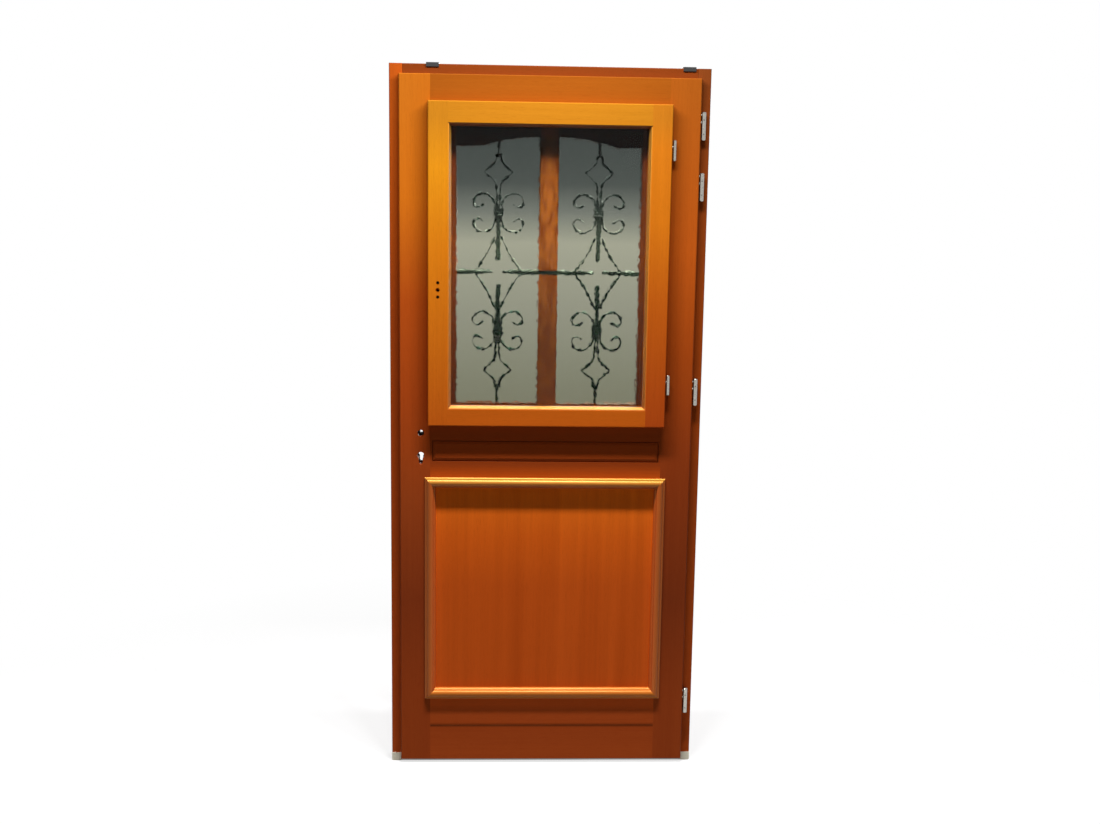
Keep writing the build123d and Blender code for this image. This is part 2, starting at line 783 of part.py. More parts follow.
with BuildPart() as light_frame_bottom:
    bar(
        side_plane("bottom", stile_edge, light_bottom, light_top, leaf_front),
        rebated_outline(lining, light_sill_height, light_stop_face - leaf_front, leaf_thickness),
        2 * lining_edge)
    for xs in ((-lining_edge - overrun, -light_half), (light_half, lining_edge + overrun)):
        block(
            (xs[0], light_stop_face, light_bottom - overrun),
            (xs[1], leaf_back + overrun, light_sill + overrun),
            Mode.SUBTRACT)
    for x in units:
        stub_socket(x, light_sill - socket_depth - pocket_fit, light_sill + overrun)
    rod_hole(light_bottom - overrun, light_bottom + lining + overrun)
    keep_recess = light_bottom + lining - keep_thickness
    block(
        (-lining_edge - overrun, sash_core - keep_length / 2, keep_recess),
        (-lining_edge + keep_width, sash_core + keep_length / 2, light_bottom + lining + overrun),
        Mode.SUBTRACT)
save(light_frame_bottom, "light_frame_bottom")

# Arched head: flat shoulders that rise to a low crown
with BuildPart() as light_arched_head:
    with BuildSketch(Plane.XZ.offset(-leaf_back)) as arch:
        with BuildLine():
            Line((0, crown_level), (mullion_half, crown_level))
            rise = TangentArc((mullion_half, crown_level), (shoulder_start, shoulder_level), tangent=(1, 0))
            Polyline(rise @ 1, (light_half, shoulder_level), (light_half, light_top), (0, light_top))
            mirror(about=Plane.YZ)
        make_face()
        shoulders = arch.vertices().group_by(Axis.Y)[0].sort_by_distance((0, shoulder_level))
        fillet(shoulders[:2], shoulder_round)
    extrude(amount=leaf_back - light_stop_face)
    block((-lining_edge, leaf_front, light_top - lining), (lining_edge, light_stop_face, light_top))
    for x in units:
        stub_socket(x, shoulder_level, arch_level + socket_depth + pocket_fit)
    rod_hole(light_top - lining - overrun, light_top + overrun)
    block(
        (-lining_edge - overrun, sash_core - keep_length / 2, light_top - lining - overrun),
        (-lining_edge + keep_width, sash_core + keep_length / 2, light_top - lining + keep_thickness),
        Mode.SUBTRACT)
save(light_arched_head, "light_arched_head")

with BuildPart() as light_mullion:
    block((-mullion_half, light_stop_face, light_sill), (mullion_half, leaf_back, crown_level))
    block(
        (-mullion_half - overrun, light_stop_face - overrun, cross_level - bar_socket_half),
        (mullion_half + overrun, grille_depth + bar_socket_half, cross_level + bar_socket_half),
        Mode.SUBTRACT)
save(light_mullion, "light_mullion")

# Keeps for the locking rods, let into the lining above and below the sash
with BuildPart() as sash_keeps:
    for low in (keep_recess, light_top - lining):
        block(
            (-lining_edge, sash_core - keep_length / 2, low),
            (-lining_edge + keep_width, sash_core + keep_length / 2, low + keep_thickness))
        rod_hole(low - overrun, low + keep_thickness + overrun)
save(sash_keeps, "sash_keeps")

# Grille uprights: a slim stub at each end of a unit and a blunt bar towards the cross bar
with BuildPart() as grille_uprights:
    for x in units:
        for up in (-1, 1):
            far_end = {1: arch_level + socket_depth, -1: light_sill - socket_depth}[up]
            blunt_end, collar, lozenge_top = [
                cross_level + up * share * grille_half
                for share in (blunt_end_share, collar_share, lozenge_top_share)]
            spans = ((blunt_end, collar, bar_half), (lozenge_top - up * stub_lap, far_end, stub_half))
            for start, end, half in spans:
                block(
                    (x - half, grille_depth - half, min(start, end)),
                    (x + half, grille_depth + half, max(start, end)))
save(grille_uprights, "grille_uprights")

# Cross bars with drawn-out tips that leave a gap in the middle of each unit
outer_end = light_half + socket_depth
tip_root = tip_gap + tip_length
cross_spans = (
    (-outer_end, -unit_x - tip_root), (-unit_x + tip_root, unit_x - tip_root),
    (unit_x + tip_root, outer_end))
with BuildPart() as grille_cross_bars:
    for start, end in cross_spans:
        block(
            (start, grille_depth - bar_half, cross_level - bar_half),
            (end, grille_depth + bar_half, cross_level + bar_half))
    for x in units:
        for side in (-1, 1):
            for reach, size in ((tip_root, bar_size), (tip_gap, tip_size)):
                with BuildSketch(Plane((x + side * reach, grille_depth, cross_level), z_dir=(1, 0, 0))):
                    Rectangle(size, size)
            loft()
save(grille_cross_bars, "grille_cross_bars")

# Scrolls: one flat bar on each side of a collar, curled at both ends
scroll_offset = bar_half + flat_thickness / 2 + weld_gap
curl_radius = scroll_curl_share * cell_width
with BuildPart() as grille_scrolls:
    for x in units:
        for up in (-1, 1):
            for side in (-1, 1):
                collar_centre = (x, grille_depth, cross_level + up * collar_share * grille_half)
                with BuildSketch(Plane(collar_centre, x_dir=(side, 0, 0), z_dir=(0, -side, 0))):
                    with BuildLine():
                        stem = Line((scroll_offset, 0), (scroll_offset, scroll_stem_share * cell_width))
                        rise = JernArc(stem @ 1, stem % 1, scroll_rise_share * cell_width, -90)
                        crown = JernArc(rise @ 1, rise % 1, scroll_crown_share * cell_width, -90)
                        curl = JernArc(crown @ 1, crown % 1, curl_radius, -scroll_curl_turn)
                        Line(curl @ 1, curl @ 1 + (curl % 1) * (scroll_tail_share * cell_width))
                        mirror(about=Plane.XZ)
                    trace(line_width=flat_thickness)
                extrude(amount=flat_depth / 2, both=True)
save(grille_scrolls, "grille_scrolls")

# Lozenges: a pair of flat bars that fork from the stub, part, and run down into the collar
leg_offset = stub_half + flat_thickness / 2 + weld_gap
foot_offset = flat_thickness / 2 + weld_gap
foot_level = collar_share * grille_half
foot_length = scroll_stem_share * cell_width
lozenge_tip = lozenge_tip_share * grille_half
lozenge_bend_drop = lozenge_bend_share * (lozenge_top_share - lozenge_tip_share) * grille_half
with BuildPart() as grille_lozenge_bars:
    for x in units:
        for up in (-1, 1):
            for side in (-1, 1):
                with BuildSketch(unit_plane(x, side, up)):
                    with BuildLine():
                        FilletPolyline(
                            (leg_offset, lozenge_top_share * grille_half),
                            (leg_offset, lozenge_tip + lozenge_bend_drop),
                            (lozenge_reach_share * cell_width, lozenge_tip),
                            (leg_offset, lozenge_tip - lozenge_bend_drop),
                            (foot_offset, foot_level + foot_length), (foot_offset, foot_level),
                            radius=(lozenge_bend, lozenge_tip_round, lozenge_bend, lozenge_bend))
                    trace(line_width=flat_thickness)
                extrude(amount=flat_depth / 2, both=True)
save(grille_lozenge_bars, "grille_lozenge_bars")

# Branches from the blunt bar, below the scrolls, to the cross bar
scroll_drop = (scroll_stem_share + scroll_rise_share) * cell_width + flat_thickness / 2
branch_top = collar_share * grille_half - scroll_drop - branch_gap
with BuildPart() as grille_branches:
    for x in units:
        for up in (-1, 1):
            for side in (-1, 1):
                with BuildSketch(unit_plane(x, side, up)):
                    with BuildLine():
                        ThreePointArc(
                            (scroll_offset, branch_top),
                            (branch_bow_shares[0] * cell_width, branch_bow_shares[1] * branch_top),
                            (branch_reach_share * cell_width, 0))
                    trace(line_width=flat_thickness)
                extrude(amount=flat_depth / 2, both=True)
    block(
        (-light_half, grille_depth - bar_size, cross_level - bar_half),
        (light_half, grille_depth + bar_size, cross_level + bar_half), Mode.SUBTRACT)
save(grille_branches, "grille_branches")

# Collars: three rings round the bars, with necks between them
collar_inner = (2 * (scroll_offset + flat_thickness / 2 + weld_gap), bar_size + 2 * weld_gap)
collar_outer = [size + 2 * collar_wall for size in collar_inner]
ring_height = collar_ring_share * collar_height
ring_pitch = (collar_height - ring_height) / (collar_rings - 1)
with BuildPart() as grille_collars:
    for x in units:
        for up in (-1, 1):
            bottom = cross_level + up * collar_share * grille_half - collar_height / 2
            bands = [(bottom + index * ring_pitch, ring_height, 0) for index in range(collar_rings)]
            neck_height = ring_pitch - ring_height
            bands += [(band[0] + ring_height, neck_height, collar_neck) for band in bands[:-1]]
            for low, height, inset in bands:
                with BuildSketch(Plane((x, grille_depth, low))) as band:
                    Rectangle(*[size - 2 * inset for size in collar_outer])
                    chamfer(band.vertices(), collar_wall / 2)
                    Rectangle(*collar_inner, mode=Mode.SUBTRACT)
                extrude(amount=height)
save(grille_collars, "grille_collars")

# Mortise lock: case open to the front, faceplate, follower, latch bolt and dead bolt
case_half = case_thickness / 2
with BuildPart() as lock_case:
    block((case_front_x, leaf_core - case_half, case_low), (case_back_x, leaf_core + case_half, case_high))
    block(
        (case_front_x - overrun, leaf_core - case_half + case_wall, case_low + case_wall),
        (case_back_x - case_wall, leaf_core + case_half - case_wall, case_high - case_wall), Mode.SUBTRACT)
    rod(
        (handle_x, leaf_core - case_thickness, handle_height), (0, 1, 0), follower_hub_radius + bearing_fit,
        2 * case_thickness, Mode.SUBTRACT)
    profile_hole(
        cylinder_radius, cylinder_slot_width, cylinder_slot_drop, leaf_core - case_thickness,
        2 * case_thickness)
save(lock_case, "lock_case")

with BuildPart() as lock_faceplate:
    block(
        (-leaf_edge, leaf_core - faceplate_width / 2, faceplate_low),
        (case_front_x, leaf_core + faceplate_width / 2, faceplate_high))
    for height, size in bolt_places.values():
        reach = size / 2 + bolt_fit
        block(
            (-leaf_edge - overrun, leaf_core - bolt_thickness / 2 - bolt_fit, height - reach),
            (case_front_x + overrun, leaf_core + bolt_thickness / 2 + bolt_fit, height + reach),
            Mode.SUBTRACT)
save(lock_faceplate, "lock_faceplate")

arm_lean = handle_turn / 2
with BuildPart() as lock_follower:
    disc_half = case_half - case_wall - pocket_fit
    rod((handle_x, leaf_core - disc_half, handle_height), (0, 1, 0), follower_radius, 2 * disc_half)
    rod((handle_x, leaf_core - case_half, handle_height), (0, 1, 0), follower_hub_radius, case_thickness)
    with BuildSketch(Plane((handle_x, leaf_core, handle_height), x_dir=(1, 0, 0), z_dir=(0, -1, 0))):
        with PolarLocations(follower_arm_length / 2, 1, start_angle=90 - arm_lean):
            SlotCenterToCenter(follower_arm_length, follower_arm_width)
    extrude(amount=fork_thickness / 2, both=True)
    block(
        (handle_x - spindle_square / 2, leaf_core - case_thickness, handle_height - spindle_square / 2),
        (handle_x + spindle_square / 2, leaf_core + case_thickness, handle_height + spindle_square / 2),
        Mode.SUBTRACT)
save(lock_follower, "lock_follower")

latch_level = handle_height + latch_rise
arm_tip_x = handle_x + follower_arm_length * sin(radians(arm_lean))
prong_reach = follower_arm_width / 2 + fork_air
with BuildPart() as latch_bolt:
    tail_x = arm_tip_x + prong_reach + fork_prong
    block(
        (-leaf_edge, leaf_core - bolt_thickness / 2, latch_level - latch_height / 2),
        (tail_x, leaf_core + bolt_thickness / 2, latch_level + latch_height / 2))
    nose_edges = latch_bolt.edges().filter_by(Axis.Z).group_by(Axis.X)[0].sort_by(Axis.Y)
    chamfer(nose_edges[-1], bolt_thickness - fork_prong)
    for low in (arm_tip_x - prong_reach - fork_prong, arm_tip_x + prong_reach):
        block(
            (low, leaf_core - fork_thickness / 2, latch_level - latch_height / 2 - fork_drop),
            (low + fork_prong, leaf_core + fork_thickness / 2, latch_level))
save(latch_bolt, "latch_bolt")

bolt_level = cylinder_height + bolt_rise
with BuildPart() as dead_bolt:
    block(
        (-leaf_edge, leaf_core - bolt_thickness / 2, bolt_level - bolt_height / 2),
        (-leaf_edge + bolt_length, leaf_core + bolt_thickness / 2, bolt_level + bolt_height / 2))
    chamfer(dead_bolt.faces().sort_by(Axis.X)[0].edges(), board_chamfer)
save(dead_bolt, "dead_bolt")

# Stiles and rails of the sash
sash_length = sash_top - sash_bottom
sash_handle_x = -sash_half + sash_handle_inset
sash_handle_level = sash_bottom + sash_handle_share * sash_length
gear_half = gear_thickness / 2
gear_low = sash_handle_level - gear_height / 2
gear_high = sash_handle_level + gear_height / 2
sash_screw_levels = [sash_handle_level + way * sash_screw_spacing / 2 for way in (-1, 1)]


def sash_stile(side):
    """Blank of a sash stile, with its body cut short at both ends."""
    plane = side_plane(side, sash_half, sash_bottom, sash_top, sash_front)
    bar(plane, sash_outline(sash_stile_width), sash_length)
    for low, high in ((sash_bottom - overrun, sash_body_bottom), (sash_body_top, sash_top + overrun)):
        block(
            (-sash_half - overrun, sash_lip_back, low), (sash_half + overrun, sash_back + overrun, high),
            Mode.SUBTRACT)


with BuildPart() as sash_left_stile:
    sash_stile("left")
    outer_edges = sash_left_stile.edges().filter_by(Axis.Z).group_by(Axis.Y)[0].sort_by(Axis.X)[:1]
    end_edges = sash_left_stile.edges().filter_by(Axis.X).group_by(Axis.Y)[0]
    fillet(outer_edges + end_edges, edge_round)
    for level in sash_screw_levels:
        rod(
            (sash_handle_x, sash_front - overrun, level), (0, 1, 0), sash_screw_hole_radius,
            sash_core - gear_half - sash_front + overrun, Mode.SUBTRACT)
    rod(
        (sash_handle_x, sash_front - overrun, sash_handle_level), (0, 1, 0), sash_spindle_hole_radius,
        sash_core - gear_half - sash_front + overrun, Mode.SUBTRACT)
    block(
        (-sash_edge - overrun, sash_core - gear_half - pocket_fit, gear_low - pocket_fit),
        (-sash_edge + gear_depth + pocket_fit, sash_core + gear_half + pocket_fit, gear_high + pocket_fit),
        Mode.SUBTRACT)
    block(
        (-sash_edge - overrun, sash_core - rod_width / 2 - pocket_fit, sash_body_bottom - overrun),
        (-sash_edge + rod_thickness + pocket_fit, sash_core + rod_width / 2 + pocket_fit,
         sash_body_top + overrun),
        Mode.SUBTRACT)
save(sash_left_stile, "sash_left_stile")

sash_arm_heights = [top - sash_arm_drop for top in sash_hinge_tops]
with BuildPart() as sash_right_stile:
    sash_stile("right")
    outer_edges = sash_right_stile.edges().filter_by(Axis.Z).group_by(Axis.Y)[0].sort_by(Axis.X)[-1:]
    end_edges = sash_right_stile.edges().filter_by(Axis.X).group_by(Axis.Y)[0]
    fillet(outer_edges + end_edges, edge_round)
    for height in sash_arm_heights:
        rod(
            (sash_axis[0], sash_axis[1], height), (-1, 0, 0), hinge_arm_radius + pocket_fit,
            sash_axis_gap + hinge_arm_reach + pocket_fit, Mode.SUBTRACT)
save(sash_right_stile, "sash_right_stile")

for side, outer, width in (("top", -1, sash_top_rail_width), ("bottom", 0, sash_bottom_rail_width)):
    with BuildPart() as sash_rail:
        bar(
            side_plane(side, sash_half, sash_bottom, sash_top, sash_front), sash_outline(width),
            2 * glass_rebate_half)
        fillet(sash_rail.edges().filter_by(Axis.X).group_by(Axis.Y)[0].sort_by(Axis.Z)[outer], edge_round)
        for xs in ((-glass_rebate_half - overrun, -sight_half), (sight_half, glass_rebate_half + overrun)):
            block(
                (xs[0], nose_front, sash_bottom - overrun),
                (xs[1], sash_back + overrun, sash_top + overrun),
                Mode.SUBTRACT)
    save(sash_rail, f"sash_{side}_rail")

# Glazing beads, mitred, with a sloped face
bead_depth = inner_pane_front - sash_front - bead_set_back
bead_outline = (
    (0, 0), (bead_flat, 0), (bead_width, bead_slope_depth), (bead_width, bead_depth), (0, bead_depth))
glass_rebate_middle = (glass_rebate_bottom + glass_rebate_top) / 2
bead_frame = (glass_rebate_half, glass_rebate_bottom, glass_rebate_top, sash_front + bead_set_back)
bead_runs = (
    ("upright", "left", glass_rebate_top - glass_rebate_bottom, Plane.YZ),
    ("level", "bottom", 2 * glass_rebate_half, Plane.XY.offset(glass_rebate_middle)))
for name, side, length, mirror_plane in bead_runs:
    with BuildPart() as glazing_beads:
        bar(side_plane(side, *bead_frame), bead_outline, length)
        mitre(side_plane(side, *bead_frame), length)
        mirror(about=mirror_plane)
    save(glazing_beads, f"glazing_beads_{name}")

# Double glazing: two panes and the spacer between them
pane_half = glass_rebate_half - pane_edge_gap
pane_bottom = glass_rebate_bottom + pane_edge_gap
pane_top = glass_rebate_top - pane_edge_gap
for name, front in (("inner", inner_pane_front), ("outer", outer_pane_front)):
    with BuildPart() as glass_pane:
        block((-pane_half, front, pane_bottom), (pane_half, front + pane_thickness, pane_top))
    save(glass_pane, f"glass_{name}_pane")

with BuildPart() as glass_spacer:
    block((-pane_half, inner_pane_back, pane_bottom), (pane_half, outer_pane_front, pane_top))
    block(
        (-pane_half + spacer_width, inner_pane_back - overrun, pane_bottom + spacer_width),
        (pane_half - spacer_width, outer_pane_front + overrun, pane_top - spacer_width), Mode.SUBTRACT)
save(glass_spacer, "glass_spacer")

# Seals on the light's stop, pressed by the sash
sash_seal_edge = sash_edge - seal_inset
sash_seal_bottom = sash_body_bottom + seal_inset
sash_seal_top = sash_body_top - seal_inset
with BuildPart() as sash_seals:
    for side in ("left", "right"):
        plane = side_plane(side, sash_seal_edge, sash_seal_bottom, sash_seal_top, light_stop_face)
        bar(plane, seal_outline, sash_seal_top - sash_seal_bottom)
    for side in ("top", "bottom"):
        plane = side_plane(side, sash_seal_edge, sash_seal_bottom, sash_seal_top, light_stop_face)
        bar(plane, seal_outline, 2 * (sash_seal_edge - seal_width - seal_clearance))
save(sash_seals, "sash_seals")

# Lock of the sash: gear case, follower and two rods
gear_bore = sash_follower_radius + bearing_fit
tail_half = (rod_tail_thickness / 2, rod_tail_width / 2)
with BuildPart() as sash_lock_case:
    block(
        (-sash_edge, sash_core - gear_half, gear_low),
        (-sash_edge + gear_depth, sash_core + gear_half, gear_high))
    rod(
        (sash_handle_x, sash_core - gear_thickness, sash_handle_level), (0, 1, 0), gear_bore,
        2 * gear_thickness, Mode.SUBTRACT)
    slot_spans = (
        (gear_low - overrun, gear_low + rod_tail_length),
        (gear_high - rod_tail_length, gear_high + overrun))
    for low, high in slot_spans:
        block(
            (rod_x - tail_half[0] - pocket_fit, sash_core - tail_half[1] - pocket_fit, low),
            (rod_x + tail_half[0] + pocket_fit, sash_core + tail_half[1] + pocket_fit, high), Mode.SUBTRACT)
save(sash_lock_case, "sash_lock_case")

with BuildPart() as sash_follower:
    rod(
        (sash_handle_x, sash_core - gear_half, sash_handle_level), (0, 1, 0), sash_follower_radius,
        gear_thickness)
    block(
        (sash_handle_x - sash_spindle_square / 2, sash_core - gear_thickness,
         sash_handle_level - sash_spindle_square / 2),
        (sash_handle_x + sash_spindle_square / 2, sash_core + gear_thickness,
         sash_handle_level + sash_spindle_square / 2), Mode.SUBTRACT)
save(sash_follower, "sash_follower")

rod_spans = {
    "upper": (gear_high + rod_end_gap, sash_body_top - rod_end_gap),
    "lower": (sash_body_bottom + rod_end_gap, gear_low - rod_end_gap)}
for name, (low, high) in rod_spans.items():
    tail = {"upper": (low - rod_tail_length, low), "lower": (high, high + rod_tail_length)}[name]
    with BuildPart() as sash_rod:
        block(
            (-sash_edge, sash_core - rod_width / 2, low),
            (-sash_edge + rod_thickness, sash_core + rod_width / 2, high))
        block(
            (rod_x - tail_half[0], sash_core - tail_half[1], tail[0]),
            (rod_x + tail_half[0], sash_core + tail_half[1], tail[1]))
    save(sash_rod, f"sash_rod_{name}")


# Hinges: turned knuckles with arms screwed into the wood
def upper_knuckle(axis, base, radius, pin_radius, length):
    """Knuckle with a closed top that turns on the pin."""
    bore = pin_radius + bearing_fit
    turned(axis, base, (
        (bore, 0), (radius, 0), (radius, length - hinge_crown), (radius - hinge_crown, length),
        (0, length), (0, length - pin_end_wall), (bore, length - pin_end_wall)))


def lower_knuckle(axis, base, radius, pin_radius, length):
    """Knuckle with a closed foot that holds the pin."""
    bore = pin_radius + bearing_fit
    turned(axis, base, (
        (0, 0), (radius - hinge_crown, 0), (radius, hinge_crown), (radius, length),
        (bore, length), (bore, pin_end_wall), (0, pin_end_wall)))


def hinge_pin(axis, base, radius, pin_radius, lower_length, length):
    """Pin with a collar that the upper knuckle rides on."""
    collar = lower_length - pin_end_wall
    top = length - 2 * pin_end_wall - pin_air
    turned(axis, base + pin_end_wall, (
        (0, 0), (pin_radius, 0), (pin_radius, collar), (radius, collar),
        (radius, collar + pin_collar_thickness),
        (pin_radius, collar + pin_collar_thickness), (pin_radius, top), (0, top)))


def hinge_arm(axis, height, direction, radius, length):
    """Arm from the wall of a knuckle along a direction."""
    root = Vector(*axis, height) + Vector(direction) * (arm_root_share * radius)
    rod(root, direction, hinge_arm_radius, length - arm_root_share * radius)


door_lower_length = door_hinge_length - door_hinge_upper_length - pin_collar_thickness
with BuildPart() as door_hinge_frame_halves:
    for bottom in door_hinge_bottoms:
        lower_knuckle(door_axis, bottom, door_hinge_radius, door_pin_radius, door_lower_length)
    for height in door_frame_arm_heights:
        hinge_arm(door_axis, height, (0, 1, 0), door_hinge_radius, door_frame_arm)
save(door_hinge_frame_halves, "door_hinge_frame_halves")

with BuildPart() as door_hinge_leaf_halves:
    for top in door_hinge_tops:
        base = top - door_hinge_upper_length
        upper_knuckle(door_axis, base, door_hinge_radius, door_pin_radius, door_hinge_upper_length)
    for height in door_leaf_arm_heights:
        hinge_arm(door_axis, height, (-1, 0, 0), door_hinge_radius, door_leaf_arm)
save(door_hinge_leaf_halves, "door_hinge_leaf_halves")

with BuildPart() as door_hinge_pins:
    for bottom in door_hinge_bottoms:
        hinge_pin(
            door_axis, bottom, door_hinge_radius, door_pin_radius, door_lower_length, door_hinge_length)
save(door_hinge_pins, "door_hinge_pins")

sash_lower_length = sash_hinge_length - sash_hinge_upper_length - pin_collar_thickness
with BuildPart() as sash_hinge_leaf_halves:
    for bottom in sash_hinge_bottoms:
        lower_knuckle(sash_axis, bottom, sash_hinge_radius, sash_pin_radius, sash_lower_length)
    for height in sash_leaf_arm_heights:
        hinge_arm(sash_axis, height, (0, 1, 0), sash_hinge_radius, sash_leaf_arm)
save(sash_hinge_leaf_halves, "sash_hinge_leaf_halves")

with BuildPart() as sash_hinge_sash_halves:
    for top in sash_hinge_tops:
        base = top - sash_hinge_upper_length
        upper_knuckle(sash_axis, base, sash_hinge_radius, sash_pin_radius, sash_hinge_upper_length)
    for height in sash_arm_heights:
        hinge_arm(sash_axis, height, (-1, 0, 0), sash_hinge_radius, sash_axis_gap + hinge_arm_reach)
save(sash_hinge_sash_halves, "sash_hinge_sash_halves")

with BuildPart() as sash_hinge_pins:
    for bottom in sash_hinge_bottoms:
        hinge_pin(
            sash_axis, bottom, sash_hinge_radius, sash_pin_radius, sash_lower_length, sash_hinge_length)
save(sash_hinge_pins, "sash_hinge_pins")
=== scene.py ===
# %% [markdown]
# A timber front door stands in its frame, seen from indoors. The joiner's work is done already: every
# stile, rail, hinge and iron bar arrives as a solid of real size. This lesson adds what a finisher adds:
# lacquer, grain, hammered iron, textured glass, and the small screws. Lengths are metres, X runs to the
# right and Y runs outdoors.

# %% Load the solids and note their box
from math import cos, radians, sin

import bmesh
import bpy
from mathutils import Matrix, Vector


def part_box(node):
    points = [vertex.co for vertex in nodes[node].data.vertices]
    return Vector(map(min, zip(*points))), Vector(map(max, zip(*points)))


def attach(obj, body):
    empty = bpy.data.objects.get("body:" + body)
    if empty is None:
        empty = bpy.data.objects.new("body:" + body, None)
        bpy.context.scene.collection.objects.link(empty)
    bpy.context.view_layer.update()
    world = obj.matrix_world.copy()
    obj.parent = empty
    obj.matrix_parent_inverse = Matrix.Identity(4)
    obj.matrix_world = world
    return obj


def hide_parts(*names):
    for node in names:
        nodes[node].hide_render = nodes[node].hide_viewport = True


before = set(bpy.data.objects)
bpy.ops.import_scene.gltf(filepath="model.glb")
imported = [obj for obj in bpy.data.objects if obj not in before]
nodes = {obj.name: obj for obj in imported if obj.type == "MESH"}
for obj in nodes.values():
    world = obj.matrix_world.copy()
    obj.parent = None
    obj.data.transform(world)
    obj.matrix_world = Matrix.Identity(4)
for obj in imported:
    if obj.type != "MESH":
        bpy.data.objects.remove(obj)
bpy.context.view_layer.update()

# %% [markdown]
# The picture is taken from a little left of the middle, above handle height, with the lens tipped down. A
# camera could be aimed with a constraint, but a still camera is plainer: yaw, pitch and roll give the
# three directions that make its turn, and the focal length comes from the picture's width in pixels.

# %% Camera
PICTURE_WIDTH = 1100
FOCAL_PIXELS = 1265
SENSOR_WIDTH = 36
CAMERA_PLACE = Vector((-0.144, -3.905, 1.752))
YAW, PITCH, ROLL = radians(2.31), radians(-8.99), radians(0.85)

scene = bpy.context.scene
scene.view_settings.view_transform = "Standard"

forward = Vector((sin(YAW) * cos(PITCH), cos(YAW) * cos(PITCH), sin(PITCH)))
level = Vector((cos(YAW), -sin(YAW), 0))
upward = level.cross(forward)
right = cos(ROLL) * level + sin(ROLL) * upward
top = cos(ROLL) * upward - sin(ROLL) * level
turn = Matrix((right, top, -forward)).transposed().to_4x4()

camera = bpy.data.objects.new("camera", bpy.data.cameras.new("camera"))
camera.data.lens = FOCAL_PIXELS * SENSOR_WIDTH / PICTURE_WIDTH
camera.data.sensor_width = SENSOR_WIDTH
camera.matrix_world = Matrix.Translation(CAMERA_PLACE) @ turn
scene.collection.objects.link(camera)
scene.camera = camera
print("lens:", round(camera.data.lens, 1), "mm")

# %% [markdown]
# Every look below, from the backdrop to the glass, is a small tree of shader nodes. Writing three lines
# for each node hides the idea, so one helper makes a node with its settings and sockets. Two more do what
# comes back most often: map a value from one range to another, and multiply two values.

# %% Helpers for shader nodes


def add(tree, kind, sockets=None, **settings):
    """A new shader node. A socket given another socket is linked, and any other value is set."""
    node = tree.nodes.new("ShaderNode" + kind)
    for name, value in settings.items():
        setattr(node, name, value)
    for name, value in (sockets or {}).items():
        if isinstance(value, bpy.types.NodeSocket):
            tree.links.new(value, node.inputs[name])
        else:
            node.inputs[name].default_value = value
    return node


def remap(tree, value, start=0, end=1, low=0, high=1, **settings):
    """A value that runs from start to end, mapped so that it runs from low to high."""
    sockets = {"Value": value, "From Min": start, "From Max": end, "To Min": low, "To Max": high}
    return add(tree, "MapRange", sockets, **settings).outputs["Result"]


def product(tree, first, second):
    """Two values multiplied."""
    return add(tree, "Math", {0: first, 1: second}, operation="MULTIPLY").outputs["Value"]


print("node helpers ready")

# %% [markdown]
# A studio backdrop is white to the eye but doesn't have to flood the object with light. The Light Path
# node tells the world which ray asks: the camera, a reflection and a ray through glass see white, and a
# matt surface gathers a lower fill. The floor does the same. Near the door it keeps part of its own
# shading, so that a shadow can be seen on it.

# %% World and floor
FILL = 0.068
FLOOR_SIDE = 30
FLOOR_SEEN, FLOOR_BOUNCE = 0.85, 0.2
FLOOR_NEAR, FLOOR_FAR = 0.5, 2.2
WHITE_NEAR_SHARE = 0.75


def seen_directly(tree):
    """A value of 1 for rays from the camera, a reflection or glass, and 0 for others."""
    path = add(tree, "LightPath")
    value = path.outputs["Is Camera Ray"]
    for kind in ("Is Glossy Ray", "Is Transmission Ray"):
        either = add(tree, "Math", {0: value, 1: path.outputs[kind]}, operation="MAXIMUM")
        value = either.outputs["Value"]
    return value


world = bpy.data.worlds.new("studio")
world.use_nodes = True
scene.world = world
tree = world.node_tree
background = tree.nodes["Background"]
background.inputs["Color"].default_value = (1, 1, 1, 1)
tree.links.new(remap(tree, seen_directly(tree), low=FILL), background.inputs["Strength"])

floor_mesh = bpy.data.meshes.new("floor")
sheet = bmesh.new()
bmesh.ops.create_grid(sheet, x_segments=1, y_segments=1, size=FLOOR_SIDE / 2)
sheet.to_mesh(floor_mesh)
sheet.free()
floor = bpy.data.objects.new("floor", floor_mesh)
scene.collection.objects.link(floor)

floor_white = bpy.data.materials.new("floor_white")
floor_white.use_nodes = True
tree = floor_white.node_tree
tree.nodes.clear()
direct = seen_directly(tree)
tone = remap(tree, direct, low=FLOOR_BOUNCE, high=FLOOR_SEEN)
matt = add(tree, "BsdfDiffuse", {"Color": tone}).outputs["BSDF"]
glow = add(tree, "Emission").outputs["Emission"]
place = add(tree, "TexCoord").outputs["Object"]
distance = add(tree, "VectorMath", {0: place}, operation="LENGTH").outputs["Value"]
fade = remap(tree, distance, FLOOR_NEAR, FLOOR_FAR, low=WHITE_NEAR_SHARE)
blend = add(tree, "MixShader", {"Fac": product(tree, fade, direct), 1: matt, 2: glow})
add(tree, "OutputMaterial", {"Surface": blend.outputs["Shader"]})
floor_mesh.materials.append(floor_white)
print("floor:", FLOOR_SIDE, "m a side, fill", FILL)

# %% [markdown]
# A row of ceiling lamps hangs close in front of the door, so light rakes down its face: edges that face
# up catch it, and what stands proud throws a long shadow below. One long strip would blur those shadows,
# and one bulb would harden them, so six small lamps share the work. A real lamp fades with the square of
# distance, which is harsh so near. The Light Falloff node lets it fade more gently. A soft box behind
# lights the outdoor face.

